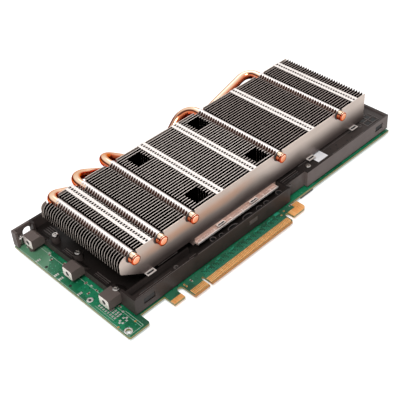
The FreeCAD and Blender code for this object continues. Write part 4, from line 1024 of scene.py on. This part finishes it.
@dataclass
class PlateTrim:
    """Bosses, ridges, slots and pockets of the base plate that the cast form carries.

    Ridges and slots have the rows of Stand, and pockets too, but without a
    level. A field of ribs says how many there are, the first and the step
    along x, where they start along y, and how long and high they are.
    """

    near_y: float = 13.0
    deck: float = 6.2
    ledge_ridges: tuple[Row, ...] = (
        (40, 24.4, LEDGE, 15, 1, 0.4), (18, 15.4, LEDGE, 24, 1, 0.3), (56, 15.2, LEDGE, 5, 1, 0.5),
        (143, 19.0, LEDGE - 0.02, 15, 0.8, 0.25), (143, 21.0, LEDGE, 15, 0.8, 0.25),
        (143, 22.6, LEDGE, 15, 0.8, 0.25), (162, 24.0, LEDGE, 11, 1, 0.45), (186, 23.0, LEDGE, 36, 1, 0.45),
        (226, 17.2, LEDGE, 14, 1.2, 0.6), (226, 22.0, LEDGE, 14, 1.2, 0.6), (226, 26.6, LEDGE, 12, 1.2, 0.6))
    cross_ridges: Row = (228, 234, 240)
    wall_ridges: tuple[Row, ...] = (
        (186, 14.9, 14.08, 34, 0.9, 0.12), (61, 13.2, 14.06, 79, 0.7, 0.2), (14, 13.5, 14.08, 44, 0.9, 0.12))
    rib_fields: tuple[Row, ...] = (
        (3, 14.6, 1.3, 40.0, 12.0, 0.5), (3, 14.6, 1.3, 72.5, 9.0, 0.5), (4, 17.6, 1.5, 96.0, 8.0, 1.2))
    ring_bosses: tuple[Triple, ...] = ((46.0, 15.7, 13.0), (224.5, 21.5, 13.0), (181.5, 30.0, 13.0))
    small_rings: tuple[Triple, ...] = ((144.5, 16.0, 12.9),)
    pockets: tuple[Row, ...] = (
        (76.5, 16.6, 0.75, 0.75, 1.8), (84.8, 17.2, 0.75, 0.9, 1.0), (94.3, 17.2, 1.65, 0.9, 1.0),
        (107.0, 17.0, 1.7, 0.95, 1.1), (118.0, 17.2, 1.0, 0.9, 1.0), (124.5, 17.2, 0.9, 0.9, 1.0),
        (135.5, 17.2, 0.8, 0.9, 1.4))
    holes: tuple[Pair, ...] = (
        (188.0, 16.8), (194.5, 16.8), (200.5, 16.8), (191.0, 20.4), (197.0, 20.4), (206.0, 18.0), (211.0, 18.0))
    slots: tuple[Row, ...] = (
        (22.0, 16.1, LEDGE, 4.0, 1.1), (31.0, 16.3, LEDGE, 2.2, 0.9), (231.0, 19.6, LEDGE, 4.4, 3.2),
        (237.0, 19.6, LEDGE, 4.4, 3.2), (231.0, 24.3, LEDGE, 4.4, 3.0), (236.6, 24.3, LEDGE, 3.6, 3.0),
        (214.0, 22.5, LEDGE, 3.4, 1.2), (153.0, 19.9, LEDGE, 9.0, 0.7))
    wall_mark: Pair = (104.0, 111.0)
    arms: Row = (29.0, 61.8, 100.2)
    arm_x: float = 3.6
    arm_z: float = 8.65
    arm_size: Pair = (8.6, 6.7)
    bore: float = 1.5
    windows: tuple[Pair, ...] = ((19.0, 13.0), (233.4, 14.3))

    def ridges(self, shop: Shop) -> None:
        """Raised lines along the ledge and the wall, and short ribs of the decks."""
        ridge = Sketch().loft([[(a, -0.28, 0), (a, -0.16, 1), (a, 0.16, 1), (a, 0.28, 0)] for a in (0, 1)])
        across = [(x, 17.2, LEDGE, 9.4, 1.2, 0.6, 90) for x in self.cross_ridges]
        rows = [*self.ledge_ridges, *self.wall_ridges, *across]
        shop.repeat("plate_ridges", ridge, rows, "cast_ridge", Slot.PLATE)
        rib = Sketch().loft([[(-0.25, b, 0), (-0.14, b, 1), (0.14, b, 1), (0.25, b, 0)] for b in (0, 1)])
        ribs = [(start + step * i, y, self.deck, 1, long, high)
                for count, start, step, y, long, high in self.rib_fields for i in range(count)]
        shop.repeat("deck_ribs", rib, ribs, "cast_ridge", Slot.PLATE)

    def bosses(self, shop: Shop) -> None:
        """Ring bosses, black pockets of painted shadow with pale rims of painted highlight, and dark painted shadow in
        the slots and holes of the ledge.
        """
        ring = Sketch().lathe([(0.75, 0), (1.55, 0), (1.45, 0.55), (1.3, 0.7), (0.9, 0.7), (0.75, 0.55)], 24,
                              looped=True)
        bosses = list(self.ring_bosses) + [(*place, 0.8, 0.8, 0.8) for place in self.small_rings]
        shop.repeat("ring_bosses", ring, bosses, "cast_ridge", Slot.PLATE)
        tube = Sketch().lathe([(2.1, 0), (2.5, 0), (2.5, 3.6), (2.4, 3.75), (2.1, 3.7)], 28, looped=True)
        rim = Sketch().lathe([(2.2, 3.6), (2.5, 3.6), (2.56, 3.8), (2.5, 4.0), (2.3, 4.0)], 28, looped=True)
        pockets = [(x, y, self.deck, *size) for x, y, *size in self.pockets]
        shop.repeat("channel_pockets", tube, pockets, "bore_shadow", Slot.PLATE)
        shop.repeat("pocket_rims", rim, pockets, "pocket_rim", Slot.PLATE)
        spot = Sketch().lathe([(1.0, -0.05), (1.0, 0.02), (0.9, 0.03)], 18)
        spots = [(*place, 0.8, 0.8) for place in self.ring_bosses + self.small_rings]
        spots += [(*place, LEDGE, 0.65, 0.65) for place in self.holes]
        shop.repeat("plate_bores", spot, spots, "bore_shadow", Slot.PLATE)
        long, cut = 0.5, 0.42
        slot = Sketch().plate(((-long, -cut), (-cut, -long), (cut, -long), (long, -cut), (long, cut), (cut, long),
                               (-cut, long), (-long, cut)), ((1.0, -0.05), (1.0, 0.02), (0.96, 0.03)))
        shop.repeat("plate_slots", slot, self.slots, "bore_shadow", Slot.PLATE)

    def faces(self, shop: Shop) -> None:
        """Bare milled faces with tapped holes on the arms, and dark sheets of painted shadow behind the wall's windows,
        behind the arms' holes and beside the wall's panel.
        """
        wide, tall = (size / 2 - 0.15 for size in self.arm_size)
        turns = [math.tau * (i + 0.5) / 24 for i in range(24)]
        spokes = [(math.cos(turn), math.sin(turn)) for turn in turns]
        front, back = self.arm_x - 0.06, self.arm_x
        ends, backs = Sketch(), Sketch()
        for x, y in self.windows:
            backs.block((x + 0.3, x + 7.9), (y + 0.5, y + 0.6), (6.9, 10.3))
        for y in self.arms:
            square = [(y + c * wide / max(abs(c), abs(s)), self.arm_z + s * tall / max(abs(c), abs(s)))
                      for c, s in spokes]
            circle = [(y + c * self.bore, self.arm_z + s * self.bore) for c, s in spokes]
            ends.loft([[(x, *spot) for spot in outline]
                       for x, outline in ((back, square), (front, square), (front, circle), (back, circle))], True)
            size = self.bore + 0.15
            backs.block((back - 0.03, back + 0.05), (y - size, y + size), (self.arm_z - size, self.arm_z + size))
        shop.solid("arm_end_faces", ends, "bare_milled", Slot.STEEL)
        (start, end), y = self.wall_mark, self.near_y
        backs.block((end + 0.8, end + 2.0), (y - 0.05, y + 0.05), (9.8, 11.0))
        shop.solid("dark_backs", backs, "bore_shadow", Slot.PLATE)
        panel = Sketch().block((start, end), (y - 0.06, y + 0.05), (7.6, 10.8))
        for z in ((8.4, 8.7), (9.5, 9.8)):
            panel.block((start + 1, end - 1), (y - 0.1, y), z)
        shop.solid("wall_panel", panel, "cast_ridge", Slot.PLATE)

    def make(self, shop: Shop) -> None:
        """Makes the raised and the sunken trim."""
        for step in (self.ridges, self.bosses, self.faces):
            step(shop)


@dataclass
class Fasteners:
    """Screws with sunk drives, and the coil springs in the wells."""

    plate_seats: tuple[Triple, ...] = (
        (17.2, 91.0, 11.0), (17.0, 68.8, 11.0), (3.5, 107.65, 8.4), (12.7, 29.0, 12.0), (166.8, 19.6, 13.0))
    board_places: tuple[Pair, ...] = ((52.0, 103.0), (238.0, 103.0), (238.0, 24.0), (50.0, 32.0))
    board_reach: float = 4.97
    wells: tuple[Pair, ...] = ((80.5, 32.62), (131.6, 32.62), (80.5, 83.74), (131.6, 83.74))
    head_z: float = 19.6
    brace_z: float = -2.5
    spring_foot: float = 14.6
    spring_radius: float = 2.4
    wire: float = 0.3
    turns: float = 5.0
    coil_steps: int = 24
    wire_flats: int = 8

    def screws(self, shop: Shop) -> None:
        """Turns the three kinds of screw."""
        head, reach = self.head_z, self.board_reach
        for kind, profile, flats, places in (
                ("plate", [(1.1, -4.0), (1.1, 0), (1.9, 0), (1.9, 0.55), (1.65, 0.88), (1.2, 1.0), (0.95, 1.0),
                           (0.8, 0.45), (0.05, 0.4)], 24, self.plate_seats),
                ("board", [(0.05, -0.8), (1.1, -0.9), (1.25, -1.4), (1.8, -1.4), (2.4, -0.9), (2.4, 0), (1.25, 0),
                           (1.25, reach - 0.2), (1.05, reach)], 24, self.board_places),
                ("spring", [(1.4, self.brace_z), (1.4, head), (3.2, head), (3.2, head + 1.7), (2.8, head + 2.2),
                            (1.5, head + 2.2), (1.3, head + 1.2), (0.05, head + 1.1)], 28, self.wells)):
            shop.repeat(kind + "_screw_heads", Sketch().lathe(profile, flats), places, "bright_steel", Slot.STEEL,
                        kind + "_screws")

    def springs(self, shop: Shop) -> None:
        """Winds a coil under each spring screw's head."""
        places = [shop.datum.point(x, y, self.spring_foot + self.wire) for x, y in self.wells]
        piece = new_object("coil_springs", points_mesh("coil_springs", places))
        tree = Tree("coil springs")
        radius = tree.size("Coil radius", self.spring_radius * MM)
        height = tree.size("Height", (self.head_z - self.spring_foot - 2 * self.wire) * MM)
        coil = tree.add("CurveSpiral", Resolution=tree.size("Steps", self.coil_steps, "Int"), Start_Radius=radius,
                        Rotations=tree.size("Turns", self.turns), End_Radius=radius, Height=height)
        tube = tree.tube(coil.outputs[0], tree.size("Wire radius", self.wire * MM), self.wire_flats)
        soft = tree.add("SetShadeSmooth", Geometry=tube, Shade_Smooth=True)
        copies = tree.add("InstanceOnPoints", Points=tree.entry.outputs[0], Instance=soft.outputs[0])
        tree.apply(piece, copies.outputs[0], shop.materials["bright_steel"])
        shop.file(piece, Slot.STEEL, "screw_springs")

    def make(self, shop: Shop) -> None:
        """Makes screws and springs."""
        self.screws(shop)
        self.springs(shop)


# ------------------------------------------------------------------ stage
@dataclass
class Studio:
    """Pale floor, soft lights and the camera."""

    camera_place: Triple = (-167.98, -247.63, 348.06)
    camera_turn: Triple = (51.7683, 1.6173, -46.3055)
    lens: float = 75.217
    shift: Pair = (-0.0869, -0.0776)
    floor_size: float = 6.0
    floor_colour: Colour = (0.93, 0.93, 0.93)
    sky: float = 0.38
    glow: float = 0.42

    def camera(self, datum: Datum) -> None:
        """Sets the camera where the card is looked down on."""
        data = bpy.data.cameras.new("camera")
        data.lens = self.lens
        data.shift_x, data.shift_y = self.shift
        data.clip_start, data.clip_end = 0.01, 20.0
        camera = new_object("camera", data)
        turn = Euler([math.radians(angle) for angle in self.camera_turn]).to_matrix().to_4x4()
        camera.matrix_world = Matrix.Translation(datum.point(*self.camera_place)) @ turn
        bpy.context.scene.camera = camera

    def floor(self) -> None:
        """Lays a white floor that keeps the card's shadow."""
        half = self.floor_size / 2
        mesh = Sketch().block((-half, half), (-half, half), (-0.01, 0.0)).done("floor")
        paint = Paint("floor_white", Vector())
        glow = paint.both(paint.directly_seen(), self.glow)
        for key, value in (("Base Color", (*self.floor_colour, 1.0)), ("Roughness", 0.9),
                           ("Emission Strength", glow), ("Emission Color", (1, 1, 1, 1))):
            paint.wire(value, paint.shader, key)
        mesh.materials.append(paint.material)
        new_object("floor", mesh)

    def world(self) -> None:
        """Surrounds the card with a soft white room."""
        world = bpy.data.worlds.new("room")
        bpy.context.scene.world = world
        world.use_nodes = True
        room, background = Wiring(world.node_tree), world.node_tree.nodes["Background"]
        level = room.add("MapRange", Value=room.directly_seen(), To_Min=self.sky, To_Max=1.0)
        room.wire(level.outputs[0], background, "Strength")
        room.wire((1, 1, 1, 1), background, "Color")

    def lamp(self, name: str, place: Triple, size: float, power: float) -> None:
        """Hangs a square lamp that faces the card.

        Args:
            name: Name of the lamp.
            place: Where it hangs, in metres.
            size: Length of its side.
            power: Its power in watts.
        """
        data = bpy.data.lights.new(name, "AREA")
        data.size, data.energy = size, power
        lamp = new_object(name, data)
        lamp.matrix_world = (Matrix.Translation(place)
                             @ Vector(place).to_track_quat("Z", "Y").to_matrix().to_4x4())

    def make(self, datum: Datum) -> None:
        """Sets up the whole studio."""
        self.camera(datum)
        self.floor()
        self.world()
        self.lamp("key", (-0.42, -0.30, 0.80), 0.3, 5.6)
        self.lamp("fill", (0.5, 0.5, 0.7), 0.6, 1.6)
        log.info("studio set")


def dress_nodes(nodes: dict[str, bpy.types.Object], materials: dict[str, bpy.types.Material]) -> None:
    """Gives every CAD node its finish."""
    for finish, names in FINISHED_NODES.items():
        for name in names:
            slots = nodes[name].data.materials
            slots.clear()
            slots.append(materials[finish])


def main() -> None:
    """Builds the dressed card."""
    logging.basicConfig(level=logging.INFO, format="%(name)s: %(message)s")
    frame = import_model()
    datum = Datum(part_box("board")[0])
    shop = Shop(datum, {recipe.name: recipe.build(datum.origin) for recipe in RECIPES})
    dress_nodes(frame["nodes"], shop.materials)
    for assembly in (HeatPipes(), FinFolds(), FlangeTrim(), BoardMarks(), PlateTrim(), Fasteners()):
        assembly.make(shop)
    Studio().make(datum)
    bpy.context.scene.view_settings.view_transform = "Standard"


if __name__ == "__main__":
    main()
